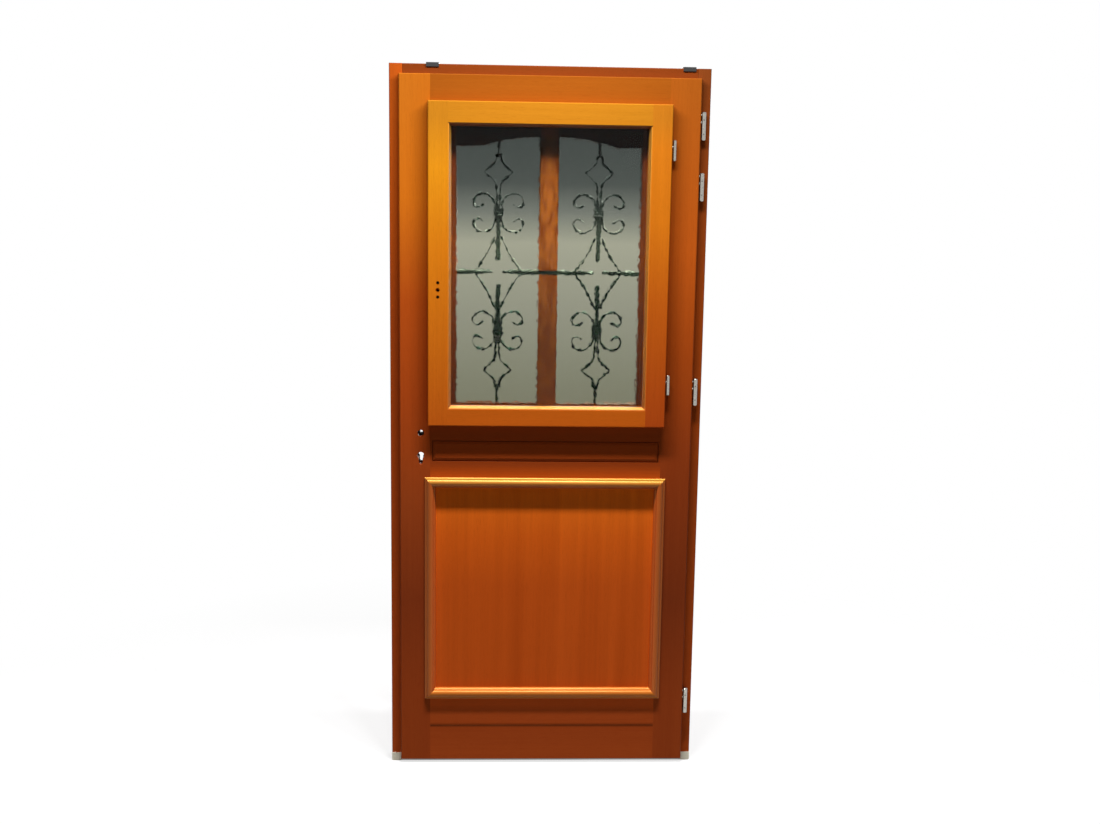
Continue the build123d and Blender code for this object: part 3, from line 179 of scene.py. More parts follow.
# %% Lamps
LAMP_XS = (-0.45, -0.27, -0.09, 0.09, 0.27, 0.45)
LAMP_Y, LAMP_Z = -0.46, 2.6
LAMP_AIM_Z = 0.9
LAMP_SIDE = 0.1
LAMP_WATTS = 4
EVEN_SHARE = 0.75
BACK_PLACE = Vector((0.9, 2.6, 2.3))
BACK_SIDE = 1.8
BACK_WATTS = 90
DOOR_MIDDLE = Vector((0, 0, 1.1))


def soft_lamp(name, place, aim, side, watts):
    """A square lamp that lights surfaces but isn't a shape in the picture."""
    light = bpy.data.lights.new(name, "AREA")
    light.size = side
    light.energy = watts
    lamp = bpy.data.objects.new(name, light)
    lamp.location = place
    lamp.rotation_euler = (aim - place).to_track_quat("-Z", "Y").to_euler()
    lamp.visible_camera = False
    lamp.visible_transmission = False
    scene.collection.objects.link(lamp)
    return light


def fades_gently(light):
    """Mixes a fade with distance and none at all."""
    light.use_nodes = True
    tree = light.node_tree
    fading = add(tree, "LightFalloff", {"Strength": 1 - EVEN_SHARE}).outputs["Linear"]
    even = add(tree, "LightFalloff", {"Strength": EVEN_SHARE}).outputs["Constant"]
    total = add(tree, "Math", {0: fading, 1: even}, operation="ADD").outputs["Value"]
    tree.links.new(total, tree.nodes["Emission"].inputs["Strength"])


for x in LAMP_XS:
    aim = Vector((x, 0, LAMP_AIM_Z))
    fades_gently(soft_lamp("ceiling_lamp", Vector((x, LAMP_Y, LAMP_Z)), aim, LAMP_SIDE, LAMP_WATTS))
soft_lamp("back_softbox", BACK_PLACE, DOOR_MIDDLE, BACK_SIDE, BACK_WATTS)
print("lamps:", [(light.name, light.energy) for light in bpy.data.lights])

# %% [markdown]
# Every finish is a Principled shader with a few textures in front of it. These helpers name the steps
# that the finishes share: a fresh material, a place or a direction read from the piece itself so that the
# finish moves with it, a ramp of colours, two colours blended, and a relief too fine to be modelled.

# %% Helpers for finishes
MIX_FIRST, MIX_SECOND, MIX_RESULT = 6, 7, 2


def new_finish(name):
    """A material with a bare Principled shader. Returns the material, its tree and the shader."""
    material = bpy.data.materials.new(name)
    material.use_nodes = True
    shader = material.node_tree.nodes["Principled BSDF"]
    return material, material.node_tree, shader


def finish_slot(name):
    """The place on a solid where its finish goes."""
    return nodes[name].material_slots[0]


def own_place(tree):
    """A point's place in the piece's own axes."""
    return add(tree, "TexCoord").outputs["Object"]


def part_of(tree, vector, axis):
    """A vector's part along X, Y or Z."""
    return add(tree, "SeparateXYZ", {"Vector": vector}).outputs[axis]


def looks_along(tree, axis):
    """How far a face looks along one of the piece's own axes, from -1 to 1."""
    return part_of(tree, add(tree, "TexCoord").outputs["Normal"], axis)


def stops(tree, value, colours):
    """A colour ramp through the given stops, each a place from 0 to 1 and a colour."""
    ramp = add(tree, "ValToRGB", {"Fac": value})
    elements = ramp.color_ramp.elements
    while len(elements) < len(colours):
        elements.new(1)
    for element, (spot, colour) in zip(elements, colours):
        element.position = spot
        element.color = (*colour, 1)
    return ramp.outputs["Color"]


def mixed(tree, share, first, second, way="MIX"):
    """Two colours blended by a share. The Mix node's sockets for colours have numbers of their own."""
    sockets = {"Factor": share, MIX_FIRST: first, MIX_SECOND: second}
    return add(tree, "Mix", sockets, data_type="RGBA", blend_type=way).outputs[MIX_RESULT]


def emboss(tree, shader, height, strength, depth):
    """A relief that bends the light and leaves the shape as it is."""
    bump = add(tree, "Bump", {"Height": height, "Strength": strength, "Distance": depth})
    tree.links.new(bump.outputs["Normal"], shader.inputs["Normal"])


print("finish helpers ready")

# %% [markdown]
# The timber is a stained softwood under satin lacquer. Grain runs along each member: upright in stiles
# and the panel, level in rails. A noise stretched along the grain gives the streaks, a broader one the
# boards that were glued up, and a finer one the pores. The colour of each piece is a ramp by height, and
# that ramp is painted light and shade over the stain: mostly warmer and lighter near the top of the door,
# where the lamps are near, and darker lower down. A flat colour would be simpler, and would look like
# plastic.

# %% Stained timber, with painted light by height
DOOR_HEIGHT = 2.18
PLAIN_DETAIL, PLAIN_ROUGHNESS = 2, 0.5
BOARD_ACROSS, BOARD_ALONG = 13, 0.25
BOARD_TONES = [(0.3, (0.93, 0.9, 0.87)), (0.7, (1.05, 1.07, 1.07))]
STREAKS = (160, 2.6, [(0.3, (0.96, 0.94, 0.92)), (0.7, (1.03, 1.04, 1.05))])
VENEER = (26, 0.6, [(0.34, (0.9, 0.87, 0.83)), (0.66, (1.06, 1.08, 1.1))])
# The mullion's flecks are grain with painted glints: their pale, whitish tones stand in for highlights.
FLECKS_AND_GLINTS = (105, 26, [(0.41, (0.6, 0.47, 0.34)), (0.59, (1.12, 1.22, 1.35))])
STREAK_DETAIL, STREAK_ROUGHNESS = 5, 0.6
PORE_ACROSS, PORE_ALONG = 1500, 45
PORE_TONES = [(0.3, (0.86, 0.8, 0.75)), (0.42, (1, 1, 1))]
PORE_STRENGTH, PORE_DEPTH = 0.35, 0.00012
LACQUER_SMOOTH, LACQUER_DULL = 0.26, 0.4
# Painted reflection colour: the lacquer's reflections are tinted warm to stand in for warm lamps.
WARM_LAMP_TINT = (1, 0.75, 0.25, 1)


def stretched(tree, along, across_scale, along_scale, shift):
    """Object coordinates pulled out along the grain, and shifted so that no two pieces match."""
    scale = [across_scale] * 3
    scale["XYZ".index(along)] = along_scale
    sockets = {"Vector": own_place(tree), "Location": [shift] * 3, "Scale": scale}
    return add(tree, "Mapping", sockets).outputs["Vector"]


def noise(tree, vector, scale, detail, roughness=PLAIN_ROUGHNESS):
    """A noise from 0 to 1. Detail adds finer waves, and roughness makes them stronger."""
    sockets = {"Vector": vector, "Scale": scale, "Detail": detail, "Roughness": roughness}
    return add(tree, "TexNoise", sockets).outputs["Fac"]


def stained_and_lit_timber(name, stain_and_light, gloss, along, shift, figure):
    """Lacquered timber. Its ramp of colours at shares of the door's height is stain and painted light
    together, and figure gives the streaks.
    """
    material, tree, shader = new_finish(name)
    # The ramp by height lays painted light and shade over the stain's own colour.
    height = part_of(tree, own_place(tree), "Z")
    colour = stops(tree, remap(tree, height, end=DOOR_HEIGHT), stain_and_light)
    streak_across, streak_along, streak_tones = figure
    board_place = stretched(tree, along, BOARD_ACROSS, BOARD_ALONG, shift)
    streak_place = stretched(tree, along, streak_across, streak_along, shift)
    pore_place = stretched(tree, along, PORE_ACROSS, PORE_ALONG, shift)
    boards = noise(tree, board_place, 1, PLAIN_DETAIL)
    streaks = noise(tree, streak_place, 1, STREAK_DETAIL, STREAK_ROUGHNESS)
    pores = noise(tree, pore_place, 1, PLAIN_DETAIL)
    for value, tones in ((boards, BOARD_TONES), (streaks, streak_tones), (pores, PORE_TONES)):
        colour = mixed(tree, 1, colour, stops(tree, value, tones), "MULTIPLY")
    tree.links.new(colour, shader.inputs["Base Color"])
    lacquer = remap(tree, streaks, low=LACQUER_SMOOTH, high=LACQUER_DULL)
    tree.links.new(lacquer, shader.inputs["Roughness"])
    shader.inputs["Specular IOR Level"].default_value = gloss
    shader.inputs["Specular Tint"].default_value = WARM_LAMP_TINT
    emboss(tree, shader, pores, PORE_STRENGTH, PORE_DEPTH)
    return material


print("timber recipe ready, streaks", round(1000 / STREAKS[0], 1), "mm wide")

# %% [markdown]
# The joiner used one stain on three lots of timber. The fixed frame came out reddest, the leaf orange
# brown, the sash honey gold, and the broad veneered panel lighter than the stiles round it. Stain gathers
# in the joint between the two boards of the bottom rail, so both ramps turn dark there. Over the stain,
# the ramps paint light and shade: most grow lighter and warmer towards the lamps above, and a few paint
# single lights, shadows and highlights, as their comments say. Each piece gets its own material, because
# grain that runs on across a joint gives a model away.

# %% Timber pieces
LEAF_BROWN, JOINT_DARK = (0.37, 0.058, 0.01), (0.05, 0.008, 0.002)
JOINT_REACH = 0.0016
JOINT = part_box("leaf_bottom_rail")[0].z / DOOR_HEIGHT
JOINT_HALF = JOINT_REACH / DOOR_HEIGHT

# Ramps that grow lighter and warmer with height lay painted light over the stain.
FRAME_STAIN_AND_LIGHT = [(0, (0.47, 0.07, 0.011)), (0.65, (0.48, 0.073, 0.009)), (0.8, (0.56, 0.095, 0.009)),
               (1, (0.56, 0.1, 0.009))]
# The top of the right jamb and the frame head are darker as painted shade, against the near lamps.
RIGHT_JAMB_STAIN_AND_SHADE = [(0, (0.44, 0.066, 0.011)), (0.65, (0.46, 0.08, 0.01)), (1, (0.26, 0.06, 0.012))]
HEAD_STAIN_AND_SHADE = [(0, (0.26, 0.05, 0.008)), (1, (0.26, 0.05, 0.008))]
LEAF_STAIN = [(0, LEAF_BROWN), (0.5, (0.36, 0.055, 0.008))]
LOCK_STILE_STAIN_AND_LIGHT = [(0.11, (0.31, 0.048, 0.009)), (0.25, (0.25, 0.039, 0.009)),
                    (0.4, (0.36, 0.06, 0.011)), (0.54, (0.47, 0.07, 0.009)), (0.68, (0.55, 0.09, 0.009)),
                    (0.82, (0.72, 0.18, 0.01)), (0.97, (0.62, 0.17, 0.012))]
HINGE_STILE_STAIN_AND_LIGHT = [(0.1, (0.3, 0.047, 0.009)), (0.25, (0.21, 0.033, 0.008)), (0.47, (0.32, 0.05, 0.009)),
                     (0.61, (0.45, 0.074, 0.008)), (0.75, (0.58, 0.11, 0.01)), (0.97, (0.45, 0.11, 0.01))]
# The lock rail has a painted strip of light along its foot and painted shade above it, deepening the
# sash's shadow.
LOCK_RAIL_STAIN_LIGHT_AND_SHADOW = [(0.432, (0.62, 0.092, 0.008)), (0.448, (0.32, 0.05, 0.008))]
# The bottom rail's upper band is lighter as painted light, lifting the moulding's shadow. Its dark joint
# is the stain's.
LOW_RAIL_STAIN_AND_LIGHT = [(JOINT, JOINT_DARK), (JOINT + JOINT_HALF, LEAF_BROWN), (0.078, LEAF_BROWN),
                  (0.088, (0.56, 0.085, 0.013))]
PLINTH_STAIN = [(0, LEAF_BROWN), (JOINT - JOINT_HALF, LEAF_BROWN), (JOINT, JOINT_DARK)]
# The leaf's top rail is darker as painted shade, against the near lamps.
TOP_RAIL_STAIN_AND_SHADE = [(0, (0.4, 0.1, 0.008)), (1, (0.4, 0.1, 0.008))]
SASH_STAIN_AND_LIGHT = [(0.5, (0.64, 0.122, 0.009)), (0.75, (0.83, 0.24, 0.009)), (0.86, (0.87, 0.32, 0.011)),
              (0.93, (0.63, 0.235, 0.014))]
RIGHT_SASH_STAIN_AND_LIGHT = [(0.5, (0.52, 0.076, 0.009)), (0.56, (0.56, 0.091, 0.009)),
                    (0.68, (0.655, 0.133, 0.009)), (0.79, (0.785, 0.214, 0.01)),
                    (0.89, (0.76, 0.222, 0.012)), (0.93, (0.63, 0.21, 0.014))]
# The lower level bead is pale as painted light, and the top one dark as painted shade.
BEAD_STAIN_LIGHT_AND_SHADE = [(0.5, (0.75, 0.3, 0.06)), (0.6, (0.5, 0.125, 0.012)), (0.88, (0.45, 0.12, 0.01)),
              (0.915, (0.2, 0.04, 0.01))]
UPRIGHT_BEAD_STAIN_AND_LIGHT = [(0.52, (0.62, 0.19, 0.03)), (0.7, (0.72, 0.25, 0.03)), (0.9, (0.8, 0.34, 0.04))]
PANEL_STAIN_AND_LIGHT = [(0.1, (0.56, 0.085, 0.009)), (0.27, (0.6, 0.092, 0.009)), (0.34, (0.73, 0.12, 0.009)),
               (0.41, (0.87, 0.17, 0.011))]
MOULDING_STAIN_AND_LIGHT = [(0, (0.42, 0.066, 0.009)), (0.45, (0.44, 0.075, 0.009))]
# The top moulding's crest and the whole bottom moulding are yellower as a painted highlight.
TOP_MOULDING_STAIN_AND_HIGHLIGHT = [(0.4207, (0.4, 0.075, 0.01)), (0.4232, (0.62, 0.27, 0.032))]
LOW_MOULDING_STAIN_AND_HIGHLIGHT = [(0.08, (0.43, 0.105, 0.012)), (0.12, (0.46, 0.12, 0.014))]
# The arch head is lighter at its top as painted light.
ARCH_STAIN_AND_LIGHT = [(0.5, (0.3, 0.055, 0.01)), (0.84, (0.4, 0.09, 0.02)), (0.9, (0.95, 0.2, 0.05))]
MULLION_STAIN_AND_LIGHT = [(0.5, (0.45, 0.108, 0.028)), (0.65, (0.5, 0.13, 0.03)), (0.79, (0.7, 0.19, 0.032)),
                 (0.85, (0.88, 0.25, 0.036))]
SATIN, RUBBED, POLISH = 0.08, 0.4, 0.7

timber = {
    "frame_left_jamb": (FRAME_STAIN_AND_LIGHT, SATIN, "Z"),
    "frame_right_jamb": (RIGHT_JAMB_STAIN_AND_SHADE, SATIN, "Z"),
    "frame_head": (HEAD_STAIN_AND_SHADE, SATIN, "X"),
    "leaf_lock_stile": (LOCK_STILE_STAIN_AND_LIGHT, SATIN, "Z"),
    "leaf_hinge_stile": (HINGE_STILE_STAIN_AND_LIGHT, SATIN, "Z"),
    "leaf_top_rail": (TOP_RAIL_STAIN_AND_SHADE, SATIN, "X"),
    "leaf_lock_rail": (LOCK_RAIL_STAIN_LIGHT_AND_SHADOW, SATIN, "X"),
    "leaf_bottom_rail": (LOW_RAIL_STAIN_AND_LIGHT, SATIN, "X"),
    "leaf_plinth_rail": (PLINTH_STAIN, SATIN, "X"),
    "lower_panel": (PANEL_STAIN_AND_LIGHT, SATIN, "Z"),
    "panel_moulding_left": (MOULDING_STAIN_AND_LIGHT, POLISH, "Z"),
    "panel_moulding_right": (MOULDING_STAIN_AND_LIGHT, POLISH, "Z"),
    "panel_moulding_top": (TOP_MOULDING_STAIN_AND_HIGHLIGHT, POLISH, "X"),
    "panel_moulding_bottom": (LOW_MOULDING_STAIN_AND_HIGHLIGHT, RUBBED, "X"),
    "slim_panel": (LEAF_STAIN, SATIN, "X"),
    "weatherboard": (LEAF_STAIN, SATIN, "X"),
    "light_frame_left": (ARCH_STAIN_AND_LIGHT, SATIN, "Z"),
    "light_frame_right": (ARCH_STAIN_AND_LIGHT, SATIN, "Z"),
    "light_frame_bottom": (ARCH_STAIN_AND_LIGHT, SATIN, "X"),
    "light_arched_head": (ARCH_STAIN_AND_LIGHT, SATIN, "X"),
    "light_mullion": (MULLION_STAIN_AND_LIGHT, SATIN, "Z"),
    "sash_left_stile": (SASH_STAIN_AND_LIGHT, SATIN, "Z"),
    "sash_right_stile": (RIGHT_SASH_STAIN_AND_LIGHT, SATIN, "Z"),
    "sash_top_rail": (SASH_STAIN_AND_LIGHT, SATIN, "X"),
    "sash_bottom_rail": (SASH_STAIN_AND_LIGHT, SATIN, "X"),
    "glazing_beads_upright": (UPRIGHT_BEAD_STAIN_AND_LIGHT, SATIN, "Z"),
    "glazing_beads_level": (BEAD_STAIN_LIGHT_AND_SHADE, POLISH, "X"),
}
figures = {"light_mullion": FLECKS_AND_GLINTS, "lower_panel": VENEER}
for number, (name, (stain_and_light, gloss, along)) in enumerate(timber.items()):
    figure = figures.get(name, STREAKS)
    finish_slot(name).material = stained_and_lit_timber("timber_" + name, stain_and_light, gloss, along, number, figure)
print("timber pieces:", len(timber))

# %% [markdown]
# The upright beads show a bright flat edge and a slope that sinks to the glass. The slope is darkened
# with painted shade, for the light that only grazes it. The slope is the same solid, so the shader tells
# the two apart by the face's own direction: the flat looks straight indoors. The direction is read from
# the piece, not from the room, so that it turns with the open sash.

# %% Painted shade on the slopes of the beads
FLAT_FACING, SLOPE_FACING = -0.99, -0.9
SLOPE_SHADE_TONE = (0.42, 0.44, 0.5, 1)

bead_wood = finish_slot("glazing_beads_upright").material
tree = bead_wood.node_tree
base = tree.nodes["Principled BSDF"].inputs["Base Color"]
# Painted shade: faces that turn away from straight indoors are darkened.
shaded_slope = remap(tree, looks_along(tree, "Y"), FLAT_FACING, SLOPE_FACING)
shaded = mixed(tree, shaded_slope, base.links[0].from_socket, SLOPE_SHADE_TONE, "MULTIPLY")
tree.links.new(shaded, base)
print("bead slopes stained:", bead_wood.name)

# %% [markdown]
# The grille is wrought iron, hammered at the forge and painted a dark green grey. Hammer marks are
# shallow facets, which a smooth Voronoi texture gives as bump, and a noise mottles the paint. In the
# upper half the faces that look up are pale and dull: a painted highlight, for the lamps' light on their
# tops. They could be painted by hand, but a face's height and direction say the same with two ramps.

# %% Hammered iron
HAMMER_MARKS, HAMMER_SMOOTHNESS = 170, 0.6
HAMMER_STRENGTH, HAMMER_DEPTH = 0.9, 0.0004
MOTTLE, MOTTLE_DETAIL = 90, 4
PAINTED_TONES = [(0.35, (0.035, 0.09, 0.075)), (0.7, (0.16, 0.3, 0.26))]
# Painted highlight: the pale tones of the tops in the upper half.
LIT_TOP_TONES = [(0.35, (0.6, 0.66, 0.63)), (0.6, (0.93, 0.95, 0.94))]
LIT_FROM, LIT_FULL = 1.5, 1.72
TOP_START, TOP_END = -0.1, 0.3
PAINTED_METALLIC, LIT_TOP_METALLIC = 0.9, 0.1
IRON_SMOOTH, IRON_DULL = 0.12, 0.3
IRON_EDGE = (0.3, 0.38, 0.35, 1)


def pits(tree, vector, scale, smoothness):
    """The distance to the nearest of many scattered points, with the ridges between them rounded."""
    sockets = {"Vector": vector, "Scale": scale, "Smoothness": smoothness}
    return add(tree, "TexVoronoi", sockets, feature="SMOOTH_F1").outputs["Distance"]


def hammered_iron(name):
    """Painted iron with hammer marks, and a painted highlight: pale, dull tops in its upper half."""
    material, tree, shader = new_finish(name)
    place = own_place(tree)
    mottle = noise(tree, place, MOTTLE, MOTTLE_DETAIL)
    rise = remap(tree, part_of(tree, place, "Z"), LIT_FROM, LIT_FULL)
    topside = remap(tree, looks_along(tree, "Z"), TOP_START, TOP_END)
    painted_highlight = product(tree, rise, topside)
    colour = mixed(tree, painted_highlight, stops(tree, mottle, PAINTED_TONES), stops(tree, mottle, LIT_TOP_TONES))
    tree.links.new(colour, shader.inputs["Base Color"])
    tree.links.new(remap(tree, painted_highlight, low=PAINTED_METALLIC, high=LIT_TOP_METALLIC), shader.inputs["Metallic"])
    tree.links.new(remap(tree, mottle, low=IRON_SMOOTH, high=IRON_DULL), shader.inputs["Roughness"])
    shader.inputs["Specular Tint"].default_value = IRON_EDGE
    marks = pits(tree, place, HAMMER_MARKS, HAMMER_SMOOTHNESS)
    emboss(tree, shader, marks, HAMMER_STRENGTH, HAMMER_DEPTH)
    return material


iron = hammered_iron("hammered_iron")
print("iron ready, hammer marks", round(1000 / HAMMER_MARKS, 1), "mm apart")

# %% [markdown]
# A smith's bar has no sharp corner: the hammer rounds every arris, and the round edge is what catches the
# light. The solids' corners are sharp. A Bevel modifier would also cut the seams between loose triangles,
# so each set of bars is copied, its triangles are merged and its flat faces joined again. Then every real
# corner is bevelled, by nearly half the thickness of a flat bar, and the bands of the collars by less.

# %% Round the bars of the grille
FLAT_ROUND, SQUARE_ROUND, BAND_ROUND = 0.0027, 0.0036, 0.0016
ROUND_SEGMENTS = 3
CORNER_ANGLE = radians(50)
SEAM = 0.00001
FLAT_ANGLE, SHARP_ANGLE = radians(1), radians(40)


def merged_copy(name):
    """A working copy of a solid's mesh with its loose triangles joined into whole faces."""
    work = bmesh.new()
    work.from_mesh(nodes[name].data)
    bmesh.ops.remove_doubles(work, verts=work.verts, dist=SEAM)
    bmesh.ops.dissolve_limit(work, angle_limit=FLAT_ANGLE, verts=work.verts, edges=work.edges)
    return work


def stand_in(work, name, body, finish):
    """Turns a working mesh into the piece that stands for a solid."""
    for face in work.faces:
        face.smooth = True
    for edge in work.edges:
        edge.smooth = edge.is_manifold and edge.calc_face_angle() < SHARP_ANGLE
    mesh = bpy.data.meshes.new("worked_" + name)
    work.to_mesh(mesh)
    work.free()
    mesh.materials.append(finish)
    piece = bpy.data.objects.new("worked_" + name, mesh)
    scene.collection.objects.link(piece)
    piece.modifiers.new("flat_sides", "WEIGHTED_NORMAL").keep_sharp = True
    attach(piece, body)
    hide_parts(name)
    return piece


bars = {
    "grille_uprights": SQUARE_ROUND,
    "grille_cross_bars": SQUARE_ROUND,
    "grille_scrolls": FLAT_ROUND,
    "grille_lozenge_bars": FLAT_ROUND,
    "grille_branches": FLAT_ROUND,
    "grille_collars": BAND_ROUND,
}
for name, size in bars.items():
    work = merged_copy(name)
    corners = [edge for edge in work.edges if edge.is_manifold and edge.calc_face_angle() > CORNER_ANGLE]
    bmesh.ops.bevel(work, geom=corners, offset=size, affect="EDGES", segments=ROUND_SEGMENTS, profile=0.5,
                    material=-1, clamp_overlap=True)
    piece = stand_in(work, name, "leaf", iron)
    print(piece.name, "corners rounded:", len(corners), "faces:", len(piece.data.polygons))

# %% [markdown]
# The sash holds two panes. The one indoors is clear. The outer one is a cast glass with a pebbled outdoor
# face, so whatever stands behind it gets ragged edges. Its grey green tint is painted shade for a dim
# view beyond the glass, deepest at the top. It is lighter, as painted light, in a strip over the mullion
# and along both sides, so that the lit timber close behind shows through. Glass casts no hard shadow on
# what is behind it, so the panes let the lamps' rays pass.

# %% Panes
GLASS_IOR = 1.4
GLASS_SHINE = (0.12, 0.12, 0.12, 1)
CAST_ROUGHNESS = 0.03
PEBBLES, PEBBLE_SMOOTHNESS = 110, 0.12
PEBBLE_DEPTH = 0.0026
STRIP_HALF, STRIP_EDGE = 0.0235, 0.0285
SIDE_START, SIDE_END = 0.2785, 0.2835
# Painted shade for the view beyond the glass, and painted light in the strips where timber stands behind.
PANE_SHADE_TINTS = [(0, (0.19, 0.19, 0.13)), (0.1, (0.21, 0.215, 0.15)), (0.34, (0.28, 0.285, 0.215)),
              (0.59, (0.36, 0.365, 0.275)), (0.7, (0.17, 0.185, 0.155)), (0.8, (0.068, 0.08, 0.071)),
              (1, (0.048, 0.058, 0.053))]
STRIP_LIGHT_TINTS = [(0, (0.23, 0.23, 0.17)), (0.34, (0.29, 0.3, 0.23)), (0.59, (0.36, 0.365, 0.275)),
               (0.8, (0.28, 0.267, 0.2)), (0.9, (0.15, 0.143, 0.13))]


def pane_glass(name):
    """Clear glass with little shine."""
    material, tree, shader = new_finish(name)
    shader.inputs["Base Color"].default_value = (1, 1, 1, 1)
    shader.inputs["Transmission Weight"].default_value = 1
    shader.inputs["Roughness"].default_value = 0
    shader.inputs["IOR"].default_value = GLASS_IOR
    shader.inputs["Specular Tint"].default_value = GLASS_SHINE
    return material, tree, shader


clear_glass = pane_glass("clear_glass")[0]
cast_glass, tree, shader = pane_glass("cast_glass")
sight_low, sight_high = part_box("glass_outer_pane")
place = own_place(tree)
rise = remap(tree, part_of(tree, place, "Z"), sight_low.z, sight_high.z)
sideways = add(tree, "Math", {0: part_of(tree, place, "X")}, operation="ABSOLUTE").outputs["Value"]
off_mullion = remap(tree, sideways, STRIP_HALF, STRIP_EDGE, interpolation_type="SMOOTHSTEP")
off_sides = remap(tree, sideways, SIDE_END, SIDE_START, interpolation_type="SMOOTHSTEP")
shaded_share = product(tree, off_mullion, off_sides)
painted_tint = mixed(tree, shaded_share, stops(tree, rise, STRIP_LIGHT_TINTS), stops(tree, rise, PANE_SHADE_TINTS))
tree.links.new(painted_tint, shader.inputs["Base Color"])
cast_face = remap(tree, part_of(tree, place, "Y"), sight_low.y, sight_high.y)
emboss(tree, shader, pits(tree, place, PEBBLES, PEBBLE_SMOOTHNESS), cast_face, PEBBLE_DEPTH)
shader.inputs["Roughness"].default_value = CAST_ROUGHNESS

for name, glass in (("glass_inner_pane", clear_glass), ("glass_outer_pane", cast_glass)):
    finish_slot(name).material = glass
    nodes[name].visible_shadow = False
print("panes:", [round(v, 3) for v in sight_high - sight_low])

# %% [markdown]
# Metal and plastic parts are small, but each has its own finish: nickelled hinges, brushed lock plates, a
# mill finish aluminium sill, moulded caps, rubber seals, black lugs and blackened lock works. The sill is
# darker than bare aluminium, as painted shade on its front under the leaf, and the lock works are near
# black partly as painted shade, so that the handle and key holes read dark. One recipe serves them all,
# with a noise that is stretched for brushed metal and even for moulded plastic.

# %% Metal, plastic and rubber
GRIT_ALONG = 8
GRIT_DETAIL = 3
GRIT_STRENGTH, GRIT_DEPTH = 0.3, 0.00005
DARK_SPOT, PALE_SPOT = 0.3, 0.7
METAL, BLACKENED, NO_METAL = 1, 0.4, 0


def grained(name, dark, pale, metallic, rough, grit, along=None):
    """A fine-grained finish. grit is how many grains lie in a metre, drawn out along an axis if given."""
    material, tree, shader = new_finish(name)
    if along:
        grain = noise(tree, stretched(tree, along, grit, GRIT_ALONG, 0), 1, GRIT_DETAIL)
    else:
        grain = noise(tree, own_place(tree), grit, GRIT_DETAIL)
    colour = stops(tree, grain, [(DARK_SPOT, dark), (PALE_SPOT, pale)])
    tree.links.new(colour, shader.inputs["Base Color"])
    shader.inputs["Metallic"].default_value = metallic
    smooth, dull = rough
    tree.links.new(remap(tree, grain, low=smooth, high=dull), shader.inputs["Roughness"])
    emboss(tree, shader, grain, GRIT_STRENGTH, GRIT_DEPTH)
    return material


finishes = {
    "hinge_steel": grained("nickelled_steel", (0.3, 0.29, 0.26), (0.5, 0.48, 0.43), METAL,
                           (0.2, 0.36), 500),
    "lock_steel": grained("brushed_steel", (0.1, 0.1, 0.085), (0.2, 0.2, 0.17), METAL,
                          (0.36, 0.5), 900, "Z"),
    # Painted shade: the sill's aluminium is dark, for its shaded front face.
    "aluminium": grained("shaded_aluminium", (0.26, 0.25, 0.24), (0.38, 0.37, 0.35), METAL,
                         (0.3, 0.45), 900, "X"),
    "cap_plastic": grained("moulded_caps", (0.85, 0.79, 0.62), (0.93, 0.87, 0.7), NO_METAL,
                           (0.45, 0.6), 1400),
    "rubber": grained("seal_rubber", (0.012, 0.012, 0.012), (0.03, 0.03, 0.03), NO_METAL,
                      (0.6, 0.75), 800),
    "lug_black": grained("black_lugs", (0.008, 0.008, 0.008), (0.02, 0.02, 0.02), NO_METAL,
                         (0.4, 0.55), 900),
}
blackened_and_hole_shade = grained("blackened_steel_and_hole_shade", (0.012, 0.012, 0.012), (0.035, 0.036, 0.032), BLACKENED,
                    (0.45, 0.6), 700)
# The lock works are near black partly as painted shade: they are seen only in the handle and key holes.
lock_works = ("lock_case", "lock_follower", "sash_lock_case", "sash_follower")
for name in lock_works:
    finish_slot(name).material = blackened_and_hole_shade
dressed = len(lock_works)
for node in nodes.values():
    slot = node.material_slots[0]
    if slot.material.name in finishes:
        slot.material = finishes[slot.material.name]
        dressed += 1
print("metal, plastic and rubber pieces:", dressed)

# %% [markdown]
# Screws hold the plates of the lock, and a grub screw locks each half of a hinge on its pin. All are low
# round heads with a sunk socket. create_cone gives the head, and two insets give the rim and the socket.

# %% Screws
SCREW_HEIGHT = 0.0008
HEAD_SEGMENTS = 20
CROWN_SHARE, RIM_SHARE, WALL_SHARE, SUNK_SHARE = 0.88, 0.36, 0.06, 0.75
PLATE_SCREW, GRUB_SCREW = 0.0038, 0.0022
END_MARGIN = 0.011
HALF_GAP = 0.06
NEAR = 0.0002
LEVEL_DIGITS = 4


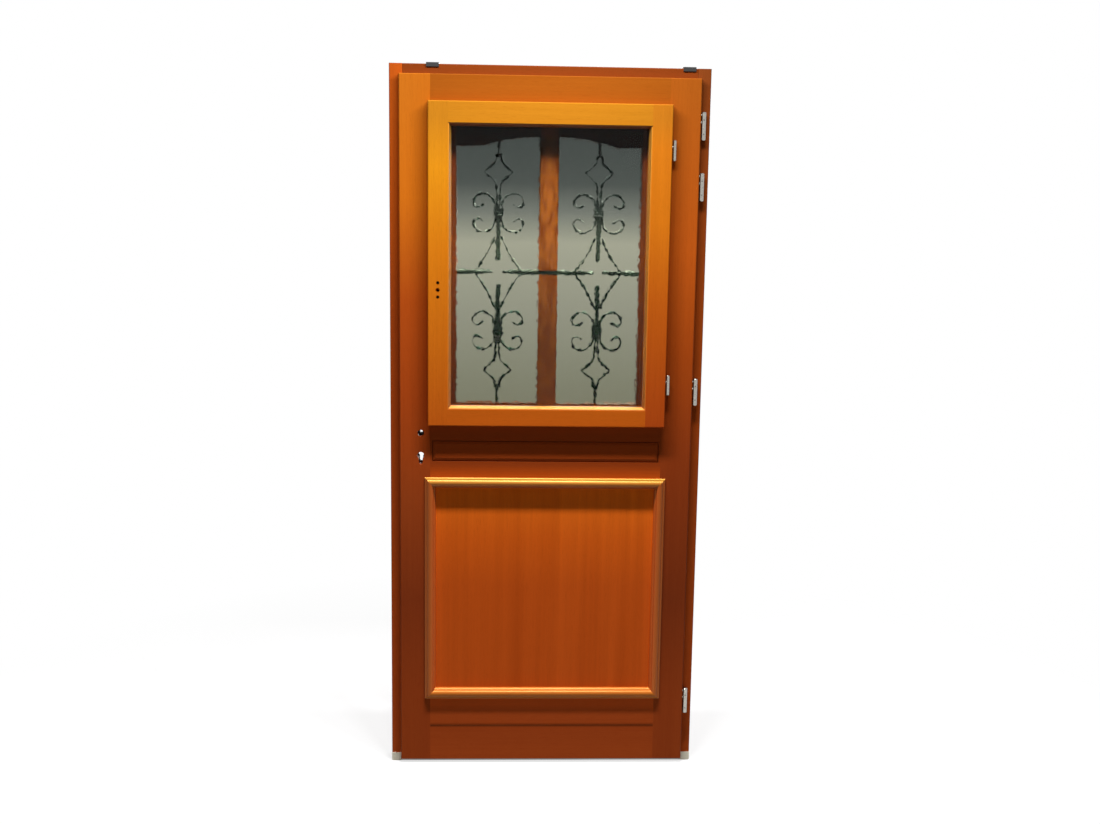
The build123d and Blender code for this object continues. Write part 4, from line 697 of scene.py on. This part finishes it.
def screw_heads(name, places, facing, radius, body, finish):
    """Low screw heads on a surface, all facing one way, in one piece."""
    work = bmesh.new()
    turn = facing.to_track_quat("Z", "Y").to_matrix().to_4x4()
    for place in places:
        before = len(work.verts)
        head = bmesh.ops.create_cone(work, cap_ends=True, segments=HEAD_SEGMENTS, radius1=radius,
                                     radius2=radius * CROWN_SHARE, depth=SCREW_HEIGHT)["verts"]
        faces = {face for vertex in head for face in vertex.link_faces}
        crown = max(faces, key=lambda face: face.calc_center_median().z)
        bmesh.ops.inset_region(work, faces=[crown], thickness=radius * RIM_SHARE)
        bmesh.ops.inset_region(work, faces=[crown], thickness=radius * WALL_SHARE,
                               depth=-SUNK_SHARE * SCREW_HEIGHT)
        bmesh.ops.transform(work, matrix=Matrix.Translation(place) @ turn, verts=list(work.verts)[before:])
    mesh = bpy.data.meshes.new(name)
    work.to_mesh(mesh)
    work.free()
    mesh.materials.append(finish)
    piece = bpy.data.objects.new(name, mesh)
    scene.collection.objects.link(piece)
    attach(piece, body)
    print(name, [tuple(round(v, 3) for v in place) for place in places])


def plate_screws(name, plate, facing, body):
    """A screw near each end of an upright plate, on the face that looks along X."""
    low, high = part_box(plate)
    x = high.x if facing.x > 0 else low.x
    y = (low.y + high.y) / 2
    places = [Vector((x, y, z)) for z in (low.z + END_MARGIN, high.z - END_MARGIN)]
    screw_heads(name, places, facing, PLATE_SCREW, body, finishes["lock_steel"])


def grub_screws(name, halves, body):
    """A dark grub screw in the front of each hinge half, at the middle of its height."""
    corners = [vertex.co for vertex in nodes[halves].data.vertices]
    front = min(corner.y for corner in corners)
    foremost = [corner.x for corner in corners if corner.y < front + NEAR]
    knuckle_x = sum(foremost) / len(foremost)
    levels = sorted({round(corner.z, LEVEL_DIGITS) for corner in corners})
    groups = [[levels[0]]]
    for level in levels[1:]:
        if level - groups[-1][-1] > HALF_GAP:
            groups.append([])
        groups[-1].append(level)
    places = [Vector((knuckle_x, front, (group[0] + group[-1]) / 2)) for group in groups]
    screw_heads(name, places, Vector((0, -1, 0)), GRUB_SCREW, body, blackened_and_hole_shade)


plate_screws("strike_plate_screws", "strike_plate", Vector((1, 0, 0)), "frame")
plate_screws("faceplate_screws", "lock_faceplate", Vector((-1, 0, 0)), "leaf")
grub_screws("frame_hinge_screws", "door_hinge_frame_halves", "frame")
grub_screws("leaf_hinge_screws", "door_hinge_leaf_halves", "leaf")
